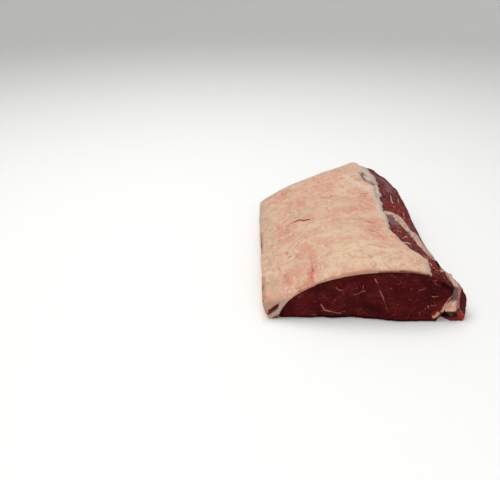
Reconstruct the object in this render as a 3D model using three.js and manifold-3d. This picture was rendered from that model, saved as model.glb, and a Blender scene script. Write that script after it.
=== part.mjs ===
// A whole raw beef striploin, boned out, lying on its lean side with the fat cap up.
// X runs across the loin, from the thin tail edge to the thick chine edge. Y runs along it, from the
// cut face at the front to the one at the back. Z is up. All sizes are in millimetres.
import * as THREE from "three";
import { ImprovedNoise } from "three/addons/math/ImprovedNoise.js";
import { mergeVertices } from "three/addons/utils/BufferGeometryUtils.js";
import Module from "manifold-3d";

const wasm = await Module();
wasm.setup();

// The eye muscle's cross-section: a low arch over a flat base, highest at the crest.
const LEAN_HEIGHT = 61;
const TAIL_X = -103; // where the arch comes down on the tail side
const TAIL_EDGE_HEIGHT = 4; // the lean's thin edge under the fat
const CREST_SHARE = 0.6; // of the section's steps, those that lie on the tail side
const UNDERCUT_FULLNESS = 0.75; // exponent of the wall between the nose and the foot: 1 is straight

// Values that change along the loin, each as [distance from the front, value].
const ARCH_SCALE = [[0, 1], [120, 1.01], [250, 0.97], [330, 1], [388, 0.96]];
const CREST_X = [[0, 30], [170, 30], [300, 40], [388, 50]]; // where the arch is highest
const TAIL_FULLNESS = [[0, 2], [140, 1.97], [270, 1.93], [388, 1.85]]; // the arch's exponent: 2 is an ellipse
const CHINE_FULLNESS = [[0, 2.4], [180, 2.6], [280, 2.8], [388, 2.35]];
const NOSE_X = [[0, 102], [60, 99], [120, 98], [165, 101], [210, 104], [250, 108], [300, 109], [350, 104],
  [388, 93]]; // the arch's end on the chine side, where the wall turns under
const NOSE_Z = [[0, 40], [60, 37], [120, 33], [180, 29], [215, 25], [250, 20], [388, 17]];
const FOOT_X = [[0, 82], [60, 83], [120, 83], [180, 86], [215, 90], [250, 97], [350, 96], [388, 82]];
const FAT_EDGE_X = [[0, 73], [24, 75], [48, 70], [72, 60], [95, 52], [135, 49], [210, 53], [255, 59],
  [312, 62], [350, 57], [388, 47]];

// The back face's distance from the front, as [X, distance]: the tail side is the shorter one.
const BACK_FACE_Y = [[-121, 308], [-105, 323], [-85, 333], [-50, 333], [-20, 346], [15, 369], [46, 394],
  [75, 391], [108, 378]];
const FACE_LEAN = [2.5, 11]; // how far the front face's foot stands forward, at the tail and chine sides
const FACE_BULGE = 1.6; // unevenness of the cut faces
const FACE_EDGE_RADIUS = 1.6;

// The fat cap.
const FAT_THICKNESS = 8;
const TAIL_FAT_OUT = [[0, 9.6], [5, 15.5], [11, 19], [18, 25], [22, 24], [26, 18], [34, 11], [42, 7], [50, 3.6],
  [57, 1.2], [61, 0]]; // how far the tail fat stands out to the side, as [height on the arch, distance]
const TAIL_FAT_UP = [[0, 0], [5, 1.5], [11, 4.5], [18, 5.5], [22, 5], [26, 3.7], [34, 3.2], [42, 4.6], [50, 6.3],
  [57, 7.6], [61, 8]]; // and how far it stands up
const FAT_EDGE_RADIUS = 6;
const FAT_OVERHANG = 1.5; // of the cap past the lean's cut faces
const FAT_LIP = 0.8; // how far the overhang laps down over the lean

// The thin muscle in the tail fat, with a seam of fat between it and the eye.
const TAIL_MUSCLE_HEIGHTS = [5, 17.5]; // the arch's heights where the thin muscle begins and ends
// Its middle line between those heights, as a share of the fat's thickness, and its own thickness.
const TAIL_MUSCLE_DEPTH = [[0, 0.78], [0.5, 0.41], [1, 0.19]];
const TAIL_MUSCLE_THICKNESS = [[0, 2.4], [0.25, 3.6], [0.6, 3.2], [1, 1.6]];
const TAIL_MUSCLE_PROUD = 0.5;

// The strap: the narrow side muscle along the foot of the chine side.
const STRAP_OUTER_X = [[-9, 119], [12, 119], [30, 114], [55, 108.5], [85, 105.5], [115, 104], [160, 105],
  [205, 107], [232, 105]];
const STRAP_TOP_Z = [[0, 39], [30, 39], [60, 38.5], [100, 37], [160, 33], [232, 18]];
const STRAP_INNER_X = [[-9, 98], [-5, 97], [6, 85], [150, 85], [232, 92]];
const STRAP_FRONT = -9;
const STRAP_BACK = 232;
const STRAP_FACE_LEAN = 17;
const STRAP_ROUND = 4;

// The lump of seam fat between the eye and the strap, which thins to a sheet at its top.
const SEAM_TOP = new THREE.Vector2(108, 38);
const SEAM_FOOT = new THREE.Vector2(98, 9);
const SEAM_HALF_WIDTHS = [9.5, 4]; // at the foot and at the top
const SEAM_FRONT = -8;
const SEAM_BACK = 40;
const SEAM_FACE_LEAN = 13;

const GAP = 0.3; // between pieces that touch
const TAIL_SLOT_GAP = 0.45; // round the tail muscle, whose edges are sharp
const WALL_UNEVENNESS = 1.5;
const END_RINGS = [0, 0.8, 2.4]; // distances of the closely spaced rings at each cut face

const EYE_STEPS = { across: 34, along: 26, up: 5 };
const FAT_STEPS = { across: 32, along: 28, up: 2 };
const TAIL_STEPS = { across: 5, along: 18, up: 2 };
const STRAP_STEPS = { across: 5, along: 22, up: 6 };
const SEAM_STEPS = { across: 4, along: 6, up: 6 };

const { lerp, clamp, smoothstep } = THREE.MathUtils;
const perlin = new ImprovedNoise();

// A smooth function through stations, each [place, value].
function through(stations) {
  const places = stations.map(([place]) => place);
  const values = stations.map(([, value]) => value);
  const curve = new THREE.CubicInterpolant(new Float32Array(places), new Float32Array(values), 1);
  return (place) => curve.evaluate(place)[0];
}

const archScale = through(ARCH_SCALE);
const crestX = through(CREST_X);
const tailFullness = through(TAIL_FULLNESS);
const chineFullness = through(CHINE_FULLNESS);
const noseX = through(NOSE_X);
const noseZ = through(NOSE_Z);
const footX = through(FOOT_X);
const fatEdgeX = through(FAT_EDGE_X);
const backFaceY = through(BACK_FACE_Y);
const tailFatOut = through(TAIL_FAT_OUT);
const tailFatUp = through(TAIL_FAT_UP);
const tailMuscleDepth = through(TAIL_MUSCLE_DEPTH);
const tailMuscleThickness = through(TAIL_MUSCLE_THICKNESS);
const strapOuterX = through(STRAP_OUTER_X);
const strapTopZ = through(STRAP_TOP_Z);
const strapInnerX = through(STRAP_INNER_X);

// Slow unevenness between -1 and 1, with bumps of about the given size.
function uneven(x, y, z, size) {
  return perlin.noise(x / size + 7.3, y / size + 2.9, z / size + 5.1);
}

// 0 at the end itself, rising round a quarter circle to 1 at the radius.
function quarterRound(distance, radius) {
  const short = 1 - clamp(distance / radius, 0, 1);
  return Math.sqrt(1 - short * short);
}

function leanHeight(y) {
  return LEAN_HEIGHT * archScale(y);
}

// The arch's angle on the chine side at which it reaches the nose.
function noseAngle(y) {
  return Math.asin(Math.pow(noseZ(y) / leanHeight(y), chineFullness(y) / 2));
}

function chineReach(y) {
  return (noseX(y) - crestX(y)) / Math.pow(Math.cos(noseAngle(y)), 2 / chineFullness(y));
}

// A point on the arch at distance y: place -1 is its foot on the tail side, 0 the crest and 1 the nose.
function arch(place, y) {
  const crest = crestX(y);
  if (place <= 0) {
    const angle = ((1 + place) * Math.PI) / 2;
    const power = 2 / tailFullness(y);
    return new THREE.Vector2(
      crest - (crest - TAIL_X) * Math.pow(Math.cos(angle), power),
      leanHeight(y) * Math.pow(Math.sin(angle), power),
    );
  }
  const angle = lerp(Math.PI / 2, noseAngle(y), place);
  const power = 2 / chineFullness(y);
  return new THREE.Vector2(
    crest + chineReach(y) * Math.pow(Math.cos(angle), power),
    leanHeight(y) * Math.pow(Math.sin(angle), power),
  );
}

// The arch's outward normal on the chine side.
function archNormal(place, y) {
  const step = 0.01;
  const along = arch(place + step, y).sub(arch(Math.max(place - step, 0), y));
  return new THREE.Vector2(-along.y, along.x).normalize();
}

// The place on the arch where it is this far across, on the chine side.
function placeAcross(x, y) {
  const share = Math.pow(Math.max(x - crestX(y), 0) / chineReach(y), chineFullness(y) / 2);
  return (Math.PI / 2 - Math.acos(share)) / (Math.PI / 2 - noseAngle(y));
}

// The place on the arch where it is this high, on the tail side.
function placeAtHeight(height, y) {
  const share = Math.pow(height / leanHeight(y), tailFullness(y) / 2);
  return (2 / Math.PI) * Math.asin(share) - 1;
}

// The step from a place on the arch to the fat's outer surface over it.
function fatDepth(place, y) {
  if (place > 0) return archNormal(place, y).multiplyScalar(FAT_THICKNESS);
  const height = arch(place, y).y / archScale(y);
  return new THREE.Vector2(-tailFatOut(height), tailFatUp(height));
}

// The front cut face: its foot stands forward of its top.
function frontFaceY(x, z) {
  const foot = lerp(FACE_LEAN[0], FACE_LEAN[1], smoothstep(x, -20, 45));
  const forward = foot * (1 - clamp(z / LEAN_HEIGHT, 0, 1));
  return -forward + FACE_BULGE * uneven(x, 0, z, 26);
}

// How long the loin is at a spot of the section: where the line through the spot meets the back face.
function lengthAt(section) {
  const guess = backFaceY(section(340).x);
  return backFaceY(section(guess).x);
}

// Distances of the rings from one face to the other, close together at both ends.
function ringDistance(share, steps, length) {
  const ring = Math.round(share * steps);
  const last = END_RINGS.length - 1;
  if (ring < last) return END_RINGS[ring];
  if (steps - ring < last) return length - END_RINGS[steps - ring];
  const between = (ring - last) / (steps - 2 * last);
  return lerp(END_RINGS[last], length - END_RINGS[last], between);
}

// A box of many small faces, with each corner of them moved to where place(u, v, w) says.
// u, v and w run from 0 to 1 across, along and up.
function shapedBox(steps, place) {
  const box = new THREE.BoxGeometry(1, 1, 1, steps.across, steps.along, steps.up);
  box.deleteAttribute("normal");
  box.deleteAttribute("uv");
  const merged = mergeVertices(box, 1e-4);
  const position = merged.getAttribute("position");
  for (let i = 0; i < position.count; i++) {
    const p = place(position.getX(i) + 0.5, position.getY(i) + 0.5, position.getZ(i) + 0.5);
    position.setXYZ(i, p.x, p.y, p.z);
  }
  return merged;
}

// The same surface, moved outwards by a distance.
function swollen(geometry, distance) {
  const grown = geometry.clone();
  grown.computeVertexNormals();
  const position = grown.getAttribute("position");
  const normal = grown.getAttribute("normal");
  for (let i = 0; i < position.count; i++) {
    position.setXYZ(
      i,
      position.getX(i) + normal.getX(i) * distance,
      position.getY(i) + normal.getY(i) * distance,
      position.getZ(i) + normal.getZ(i) * distance,
    );
  }
  grown.deleteAttribute("normal");
  return grown;
}

function toSolid(geometry) {
  return new wasm.Manifold(
    new wasm.Mesh({
      numProp: 3,
      vertProperties: new Float32Array(geometry.getAttribute("position").array),
      triVerts: new Uint32Array(geometry.index.array),
    }),
  );
}

// The largest closed body of a solid, as a geometry: thin scraps that a cut leaves are dropped.
function toGeometry(solid) {
  const largest = solid.decompose().reduce((a, b) => (b.volume() > a.volume() ? b : a));
  const mesh = largest.getMesh();
  const geometry = new THREE.BufferGeometry();
  geometry.setAttribute("position", new THREE.BufferAttribute(mesh.vertProperties, mesh.numProp));
  geometry.setIndex(new THREE.BufferAttribute(mesh.triVerts, 1));
  return geometry;
}

function eyeMuscle() {
  const section = (u, w, y) => {
    const first = placeAtHeight(TAIL_EDGE_HEIGHT, y);
    const place = u < CREST_SHARE ? lerp(first, 0, u / CREST_SHARE) : (u - CREST_SHARE) / (1 - CREST_SHARE);
    const top = arch(place, y);
    const left = arch(first, y).x;
    const across = (top.x - left) / (noseX(y) - left);
    const bottomX = lerp(left + 2, footX(y), across);
    return new THREE.Vector2(lerp(bottomX, top.x, Math.pow(w, UNDERCUT_FULLNESS)), top.y * w);
  };
  return shapedBox(EYE_STEPS, (u, v, w) => {
    const length = lengthAt((y) => section(u, w, y));
    const distance = ringDistance(v, EYE_STEPS.along, length);
    const { x, y: z } = section(u, w, distance);
    // The section shrinks a little towards its middle at each cut face, which rounds the face's edge.
    const end = Math.min(distance, length - distance);
    const pull = FACE_EDGE_RADIUS * (1 - quarterRound(end, FACE_EDGE_RADIUS));
    const skin = WALL_UNEVENNESS * uneven(x, distance, z, 38) * smoothstep(z, 4, 24);
    const outward = smoothstep(Math.abs(u - 0.5), 0.4, 0.5) * Math.sign(u - 0.5);
    const front = frontFaceY(x, z);
    const back = length + 2 * FACE_BULGE * uneven(x, 90, z, 30);
    return new THREE.Vector3(
      x + (pull * x) / TAIL_X + skin * outward,
      lerp(front, back, distance / length),
      z + pull * (1 - (2 * z) / LEAN_HEIGHT) + skin,
    );
  });
}

// A piece that lies over the arch and runs the loin's whole length, past both faces by the overrun.
// section(u, w, y, end) gives its section at distance y, with end the distance from the nearer face.
function layer(steps, section, overrun) {
  return shapedBox(steps, (u, v, w) => {
    const length = lengthAt((y) => section(u, w, y, Infinity));
    const distance = ringDistance(v, steps.along, length);
    const { x, y: z } = section(u, w, distance, Math.min(distance, length - distance));
    const front = frontFaceY(x, z) - overrun;
    return new THREE.Vector3(x, lerp(front, length + overrun, distance / length), Math.max(z, 0));
  });
}

function fatCap() {
  const section = (u, w, y, end) => {
    const place = lerp(-0.998, placeAcross(fatEdgeX(y), y), u);
    const base = arch(place, y);
    const edge = 0.4 + 0.6 * quarterRound(fatEdgeX(y) - base.x, FAT_EDGE_RADIUS);
    const face = 0.7 + 0.3 * quarterRound(end, FACE_EDGE_RADIUS);
    const relief = 0.2 * uneven(base.x, y, 0, 64) + 0.09 * uneven(base.x, y, 40, 27);
    const outer = (1 + relief * smoothstep(base.y, 20, 45)) * edge * face;
    const depth = fatDepth(place, y);
    return base.add(depth.multiplyScalar(lerp(-FAT_LIP / depth.length(), outer, w)));
  };
  return layer(FAT_STEPS, section, FAT_OVERHANG);
}

// The thin muscle in the tail fat. It stands a little proud of the fat at both cut faces.
function tailMuscle() {
  const [foot, top] = TAIL_MUSCLE_HEIGHTS;
  const middleLine = (u, y) => {
    const place = lerp(placeAtHeight(foot, y), placeAtHeight(top, y), u);
    return arch(place, y).add(fatDepth(place, y).multiplyScalar(tailMuscleDepth(u)));
  };
  const section = (u, w, y) => {
    const along = middleLine(u + 0.02, y).sub(middleLine(u - 0.02, y)).normalize();
    const outward = new THREE.Vector2(-along.y, along.x);
    return middleLine(u, y).add(outward.multiplyScalar((w - 0.5) * tailMuscleThickness(u)));
  };
  return layer(TAIL_STEPS, section, FAT_OVERHANG + TAIL_MUSCLE_PROUD);
}

function strapMuscle() {
  return shapedBox(STRAP_STEPS, (u, v, w) => {
    const length = STRAP_BACK - STRAP_FRONT;
    const distance = ringDistance(v, STRAP_STEPS.along, length);
    const y = distance + STRAP_FRONT;
    const round = STRAP_ROUND * Math.pow(Math.abs(2 * w - 1), 3);
    const outer = strapOuterX(y) - round;
    const inner = lerp(strapInnerX(y), noseX(y) - STRAP_ROUND, w);
    const top = strapTopZ(y) - STRAP_ROUND * u * u;
    const x = lerp(inner, outer, u);
    const front = STRAP_FRONT + STRAP_FACE_LEAN * w;
    return new THREE.Vector3(
      x + WALL_UNEVENNESS * uneven(x, y, w * 30, 24) * u,
      front + ((STRAP_BACK - front) * distance) / length,
      top * w + WALL_UNEVENNESS * uneven(x, y, 60, 30) * w,
    );
  });
}

function seamFat() {
  return shapedBox(SEAM_STEPS, (u, v, w) => {
    const core = SEAM_FOOT.clone().lerp(SEAM_TOP, w);
    const across = 2 * u - 1;
    const widest = lerp(SEAM_HALF_WIDTHS[0], SEAM_HALF_WIDTHS[1], smoothstep(w, 0.1, 0.8));
    const halfWidth = widest * (0.6 + 0.4 * quarterRound(w, 0.3)) * (1 - 0.6 * v);
    const dome = 3 * (1 - across * across) * (1 - v) * (1 - w);
    return new THREE.Vector3(
      core.x + across * halfWidth,
      lerp(SEAM_FRONT + SEAM_FACE_LEAN * w - dome, SEAM_BACK, v),
      core.y + across * across * 3 * (1 - w),
    );
  });
}

const lean = { color: "#5c2020", roughness: 0.38, metalness: 0 };
const fat = { color: "#d8b198", roughness: 0.5, metalness: 0 };

function piece(name, geometry, look) {
  const mesh = new THREE.Mesh(geometry, new THREE.MeshStandardMaterial(look));
  mesh.name = name;
  return mesh;
}

const eye = eyeMuscle();
const eyeHollow = toSolid(swollen(eye, GAP));
const seam = seamFat();
const tail = tailMuscle();
const cap = toSolid(fatCap()).subtract(eyeHollow).subtract(toSolid(swollen(tail, TAIL_SLOT_GAP)));
const strap = toSolid(strapMuscle()).subtract(eyeHollow).subtract(toSolid(swollen(seam, GAP)));

const striploin = new THREE.Group();
striploin.add(
  piece("eye_muscle", eye, lean),
  piece("fat_cap", toGeometry(cap), fat),
  piece("tail_muscle", tail, lean),
  piece("strap_muscle", toGeometry(strap), lean),
  piece("seam_fat", toGeometry(toSolid(seam).subtract(eyeHollow)), fat),
);

// The part's origin is the middle of the surface that it rests on.
const bounds = new THREE.Box3().setFromObject(striploin, true);
const middle = bounds.getCenter(new THREE.Vector3());
striploin.position.set(-middle.x, -middle.y, -bounds.min.z);

export default striploin;
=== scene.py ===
"""The look of a whole raw beef striploin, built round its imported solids.

Each solid of the frame gets a finely meshed piece in its place: the large lean muscle, the fat cap,
the thin strip of lean in the tail, the side strap and the lump of seam fat. The meshes carry the
relief, such as fibre bundles, hollows, slits and ragged edges, and painted masks for what lies in
one place, such as a vein or a patch of silverskin. The finishes read those masks and add the grain.

Sizes are in millimetres until a mesh is stored, in the frame's own axes: X across the joint from
the thin tail to the thick chine edge, Y along it from the shown cut face, Z up.
"""

import sys
import logging
import math
from dataclasses import dataclass, field
from enum import Enum

import bmesh
import bpy
import numpy as np
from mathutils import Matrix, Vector, noise


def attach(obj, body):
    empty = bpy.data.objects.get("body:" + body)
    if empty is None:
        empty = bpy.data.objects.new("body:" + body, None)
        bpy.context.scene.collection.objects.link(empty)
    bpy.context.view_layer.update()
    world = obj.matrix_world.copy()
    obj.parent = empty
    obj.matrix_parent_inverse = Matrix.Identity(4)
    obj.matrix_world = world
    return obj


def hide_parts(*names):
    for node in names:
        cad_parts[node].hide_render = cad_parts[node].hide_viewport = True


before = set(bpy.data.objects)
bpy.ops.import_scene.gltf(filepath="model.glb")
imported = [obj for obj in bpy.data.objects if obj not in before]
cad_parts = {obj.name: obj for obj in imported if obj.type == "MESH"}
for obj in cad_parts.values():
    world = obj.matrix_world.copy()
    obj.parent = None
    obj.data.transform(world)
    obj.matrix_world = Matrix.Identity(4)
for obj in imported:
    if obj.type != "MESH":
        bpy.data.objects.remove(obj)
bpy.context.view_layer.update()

LOG = logging.getLogger("striploin")
MM = 0.001
BODY = "root"
MERGE_DISTANCE = 1e-6

Path = tuple[tuple[float, ...], ...]


def linear(shade: str) -> tuple[float, float, float, float]:
    """Turns a colour as seen on a screen into the linear one that light is worked out with.

    Args:
        shade: An sRGB colour as #rrggbb.

    Returns:
        Linear red, green and blue, and an alpha of one.
    """
    parts = [int(shade[place:place + 2], 16) / 255 for place in (1, 3, 5)]
    red, green, blue = (c / 12.92 if c <= 0.04045 else ((c + 0.055) / 1.055) ** 2.4 for c in parts)
    return (red, green, blue, 1.0)


def fade(values: np.ndarray, start: float, end: float) -> np.ndarray:
    """A smooth step from nought at start to one at end, which may be the lower of the two."""
    share = np.clip((values - start) / (end - start), 0, 1)
    return share * share * (3 - 2 * share)


def ripple(points: np.ndarray, size: tuple[float, float, float], place: float, octaves: int = 2) -> np.ndarray:
    """Smooth random swells over a set of points.

    Args:
        points: Points in millimetres, one to a row.
        size: Width of a swell along X, Y and Z in millimetres.
        place: Shifts the pattern, so that no two uses look alike.
        octaves: How many finer layers of swells it has.

    Returns:
        A height for each point, mostly between minus one and one.
    """
    cells = points / np.array(size) + (place, 1.7 * place, 2.3 * place)
    return 1.6 * np.array([noise.fractal(cell, 1.0, 2.0, octaves) for cell in cells.tolist()])


class View(Enum):
    """A side that a mark is drawn from: the axes that it keeps, and the way that the side faces.

    A mark drawn in the round keeps all three axes, and lies on whatever surface is near it.
    """

    TOP = ((0, 1), (0.0, 0.0, 1.0))
    FRONT = ((0, 2), (0.0, -1.0, 0.0))
    BACK = ((0, 2), (0.0, 1.0, 0.0))
    CHINE = ((1, 2), (1.0, 0.0, 0.0))
    TAIL = ((1, 2), (-1.0, 0.0, 0.0))
    ROUND = ((0, 1, 2), (0.0, 0.0, 0.0))


@dataclass(frozen=True)
class Mark:
    """A line or a spot in one place, such as a vein, a slit or a thread of marbling.

    Attributes:
        layer: The painted mask that it goes into.
        view: The side that it is drawn from.
        path: Its points in that view, in millimetres.
        reach: How far it fades out on either side, in millimetres.
        depth: How deep it is cut into the meat, in millimetres; below nought it stands up.
        strength: What it paints along its middle, nought to one.
    """

    layer: str
    view: View
    path: Path
    reach: float
    depth: float = 0.0
    strength: float = 1.0


@dataclass(frozen=True)
class Patch:
    """A soft-edged zone, such as a pinker part of the fat or a piece of silverskin.

    Attributes:
        layer: The painted mask that it goes into.
        view: The side that it is drawn from.
        centre: Its middle in that view, in millimetres.
        radii: Its half widths in that view, in millimetres.
        turn: How far it is turned, in degrees.
        depth: How deep its middle lies below the surface, in millimetres.
        strength: What it paints at its middle, nought to one.
        ragged: How uneven its border is, as a share of its radii.
    """

    layer: str
    view: View
    centre: tuple[float, float]
    radii: tuple[float, float]
    turn: float = 0.0
    depth: float = 0.0
    strength: float = 1.0
    ragged: float = 0.35


class Carving:
    """One piece's mesh while it is shaped and painted, with its points in millimetres."""

    def __init__(self, piece: bpy.types.Object) -> None:
        """Reads the mesh of a piece.

        Args:
            piece: The object, at the origin.
        """
        self.piece = piece
        self.masks: dict[str, np.ndarray] = {}
        self.read()

    def read(self) -> None:
        """Takes the points, edges and normals from the mesh."""
        mesh = self.piece.data
        flat = np.empty(len(mesh.vertices) * 3)
        mesh.vertices.foreach_get("co", flat)
        self.points = flat.reshape(-1, 3) / MM
        ends = np.empty(len(mesh.edges) * 2, dtype=np.int64)
        mesh.edges.foreach_get("vertices", ends)
        self.ends = ends.reshape(-1, 2)
        self.degree = np.maximum(np.bincount(ends, minlength=len(self.points)), 1)
        self.find_normals()

    def find_normals(self) -> None:
        """Writes the points back, and reads the normals that they give."""
        mesh = self.piece.data
        mesh.vertices.foreach_set("co", (self.points * MM).ravel())
        mesh.update()
        flat = np.empty(len(mesh.vertices) * 3)
        mesh.vertices.foreach_get("normal", flat)
        self.normals = flat.reshape(-1, 3)

    def mean_of_neighbours(self, values: np.ndarray) -> np.ndarray:
        """The mean of each point's neighbours along the edges, for values with one row a point."""
        one, other = self.ends.T
        sums = [
            np.bincount(one, column[other], len(column)) + np.bincount(other, column[one], len(column))
            for column in values.T
        ]
        return np.stack(sums, axis=1) / self.degree[:, None]

    def relax(self, rounds: int, share: float = 0.5) -> None:
        """Evens out the surface.

        Args:
            rounds: How many times each point moves towards its neighbours.
            share: How far it moves each time, nought to one.
        """
        for _ in range(rounds):
            self.points += share * (self.mean_of_neighbours(self.points) - self.points)
            self.points -= 0.96 * share * (self.mean_of_neighbours(self.points) - self.points)
        self.find_normals()

    def push(self, heights: np.ndarray) -> None:
        """Moves each point along its normal, by a height in millimetres."""
        self.points += self.normals * heights[:, None]
        self.find_normals()

    def sink(self, path: Path, reach: float, depth: float) -> None:
        """Lets the surface sag straight down along a line in the round.

        Args:
            path: The line's points.
            reach: How far it fades out on either side, in millimetres.
            depth: How far its middle sags, in millimetres.
        """
        self.points[:, 2] -= depth * fade(self.distance(View.ROUND, path), reach, 0.0)
        self.find_normals()

    def facing(self, view: View, start: float = 0.15, end: float = 0.5) -> np.ndarray:
        """How much each point faces a side: nought at start to one at end, as the normal's share."""
        if view is View.ROUND:
            return np.ones(len(self.points))
        return fade(self.normals @ np.array(view.value[1]), start, end)

    def distance(self, view: View, path: Path) -> np.ndarray:
        """Each point's distance from a drawn line, in millimetres.

        Args:
            view: The side that the line is drawn from.
            path: The line's points in that view.

        Returns:
            The distance in that view, one for each point.
        """
        flat = self.points[:, view.value[0]]
        nearest = np.full(len(flat), np.inf)
        corners = np.array(path, dtype=float)
        for start, end in zip(corners[:-1], corners[1:]):
            along = end - start
            share = np.clip((flat - start) @ along / max(along @ along, 1e-9), 0, 1)
            nearest = np.minimum(nearest, np.linalg.norm(flat - start - share[:, None] * along, axis=1))
        return nearest

    def draw(self, marks: tuple[Mark, ...]) -> None:
        """Cuts the marks into the surface and paints them into their masks."""
        heights = np.zeros(len(self.points))
        for mark in marks:
            near = fade(self.distance(mark.view, mark.path), mark.reach, 0.0) * self.facing(mark.view)
            heights -= mark.depth * near
            self.paint(mark.layer, mark.strength * near)
        self.push(heights)

    def lay(self, patches: tuple[Patch, ...]) -> None:
        """Hollows out the patches and paints them into their masks."""
        heights = np.zeros(len(self.points))
        for number, patch in enumerate(patches):
            flat = self.points[:, patch.view.value[0]] - np.array(patch.centre)
            turn = math.radians(patch.turn)
            spun = flat @ np.array(((math.cos(turn), -math.sin(turn)), (math.sin(turn), math.cos(turn))))
            away = np.linalg.norm(spun / np.array(patch.radii), axis=1)
            near = away < 2
            uneven = np.zeros(len(away))
            uneven[near] = ripple(self.points[near], (9.0, 9.0, 9.0), 3.1 * number + 0.7)
            share = fade(away + patch.ragged * uneven, 1.2, 0.55) * self.facing(patch.view)
            heights -= patch.depth * share
            self.paint(patch.layer, patch.strength * share)
        self.push(heights)

    def paint(self, layer: str, values: np.ndarray) -> None:
        """Adds values to a painted mask, and keeps the larger where two meet."""
        before = self.masks.get(layer, np.zeros(len(self.points)))
        self.masks[layer] = np.maximum(before, np.clip(values, 0, 1))

    def refine(self, chosen: np.ndarray) -> None:
        """Halves the edges between chosen points, before anything is painted.

        Args:
            chosen: True for each point whose faces are to be made finer.
        """
        shape = bmesh.new()
        shape.from_mesh(self.piece.data)
        edges = [edge for edge in shape.edges if all(chosen[vertex.index] for vertex in edge.verts)]
        bmesh.ops.subdivide_edges(shape, edges=edges, cuts=1, use_grid_fill=True)
        shape.to_mesh(self.piece.data)
        shape.free()
        self.read()

    def sharpen(self, marks: tuple[Mark, ...], widest: float = 5.0) -> None:
        """Makes the mesh finer along the thin marks, so that they come out crisp.

        Args:
            marks: All the marks that are going to be drawn.
            widest: Reach in millimetres past which a mark is soft enough without it.
        """
        chosen = np.zeros(len(self.points), dtype=bool)
        for mark in marks:
            if mark.reach <= widest:
                near = self.distance(mark.view, mark.path) < mark.reach + 1
                chosen |= near & (self.facing(mark.view) > 0.1)
        self.refine(chosen)

    def store(self) -> None:
        """Writes the points and the masks into the mesh, and smooths its shading."""
        self.find_normals()
        mesh = self.piece.data
        for layer, values in self.masks.items():
            mesh.attributes.new(layer, "FLOAT", "POINT").data.foreach_set("value", values)
        mesh.shade_smooth()


@dataclass(frozen=True)
class Meshing:
    """How finely a solid is meshed.

    Attributes:
        voxel: Width of a face in millimetres.
        sharp: Angle in degrees past which an edge of the solid stays an edge.
        hidden_share: Share of the faces that is kept where nothing shows.
    """

    voxel: float
    sharp: float = 38.0
    hidden_share: float = 0.1


class Grain(Enum):
    """The pattern that breaks up a layer of a finish."""

    EVEN = "even"
    MOTTLE = "mottle"
    THREADS = "threads"
    CELLS = "cells"


@dataclass(frozen=True)
class Layer:
    """One thing that changes the colour, gloss or height of a finish.

    Attributes:
        shade: The sRGB colour that it brings.
        share: How much it covers what lies below, nought to one.
        grain: The pattern that it shows in.
        size: Size of the pattern along X, Y and Z in millimetres.
        cut: The pattern's values between which the layer comes in.
        detail: How many finer octaves the pattern has.
        paint: The painted mask that carries it, or empty for everywhere.
        ragged: How far the pattern eats into the painted mask.
        patchy: Size in millimetres of the gaps that break it up, or nought.
        rough: Roughness that it brings, or below nought to leave it.
        swell: Height in millimetres that it adds.
    """

    shade: str = "#ffffff"
    share: float = 0.0
    grain: Grain = Grain.MOTTLE
    size: tuple[float, float, float] = (10.0, 10.0, 10.0)
    cut: tuple[float, float] = (0.4, 0.6)
    detail: float = 2.0
    paint: str = ""
    ragged: float = 0.0
    patchy: float = 0.0
    rough: float = -1.0
    swell: float = 0.0


class Bench:
    """The node tree of one material while it is put together."""

    def __init__(self, name: str) -> None:
        """Starts an empty material.

        Args:
            name: The material's name.
        """
        self.material = bpy.data.materials.new(name)
        self.material.use_nodes = True
        self.tree = self.material.node_tree
        self.tree.nodes.clear()

    def add(self, kind: str, inputs: dict[int | str, object] | None = None, **settings: object) -> bpy.types.Node:
        """Adds one node with its settings and links.

        Args:
            kind: The node's type.
            inputs: A value, or the output that feeds it, for each input by name or number.
            settings: Values of the node's own properties.

        Returns:
            The new node.
        """
        node = self.tree.nodes.new(kind)
        for name, value in settings.items():
            setattr(node, name, value)
        for key, value in (inputs or {}).items():
            if isinstance(value, bpy.types.NodeSocket):
                self.tree.links.new(value, node.inputs[key])
            else:
                node.inputs[key].default_value = value
        return node


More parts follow.
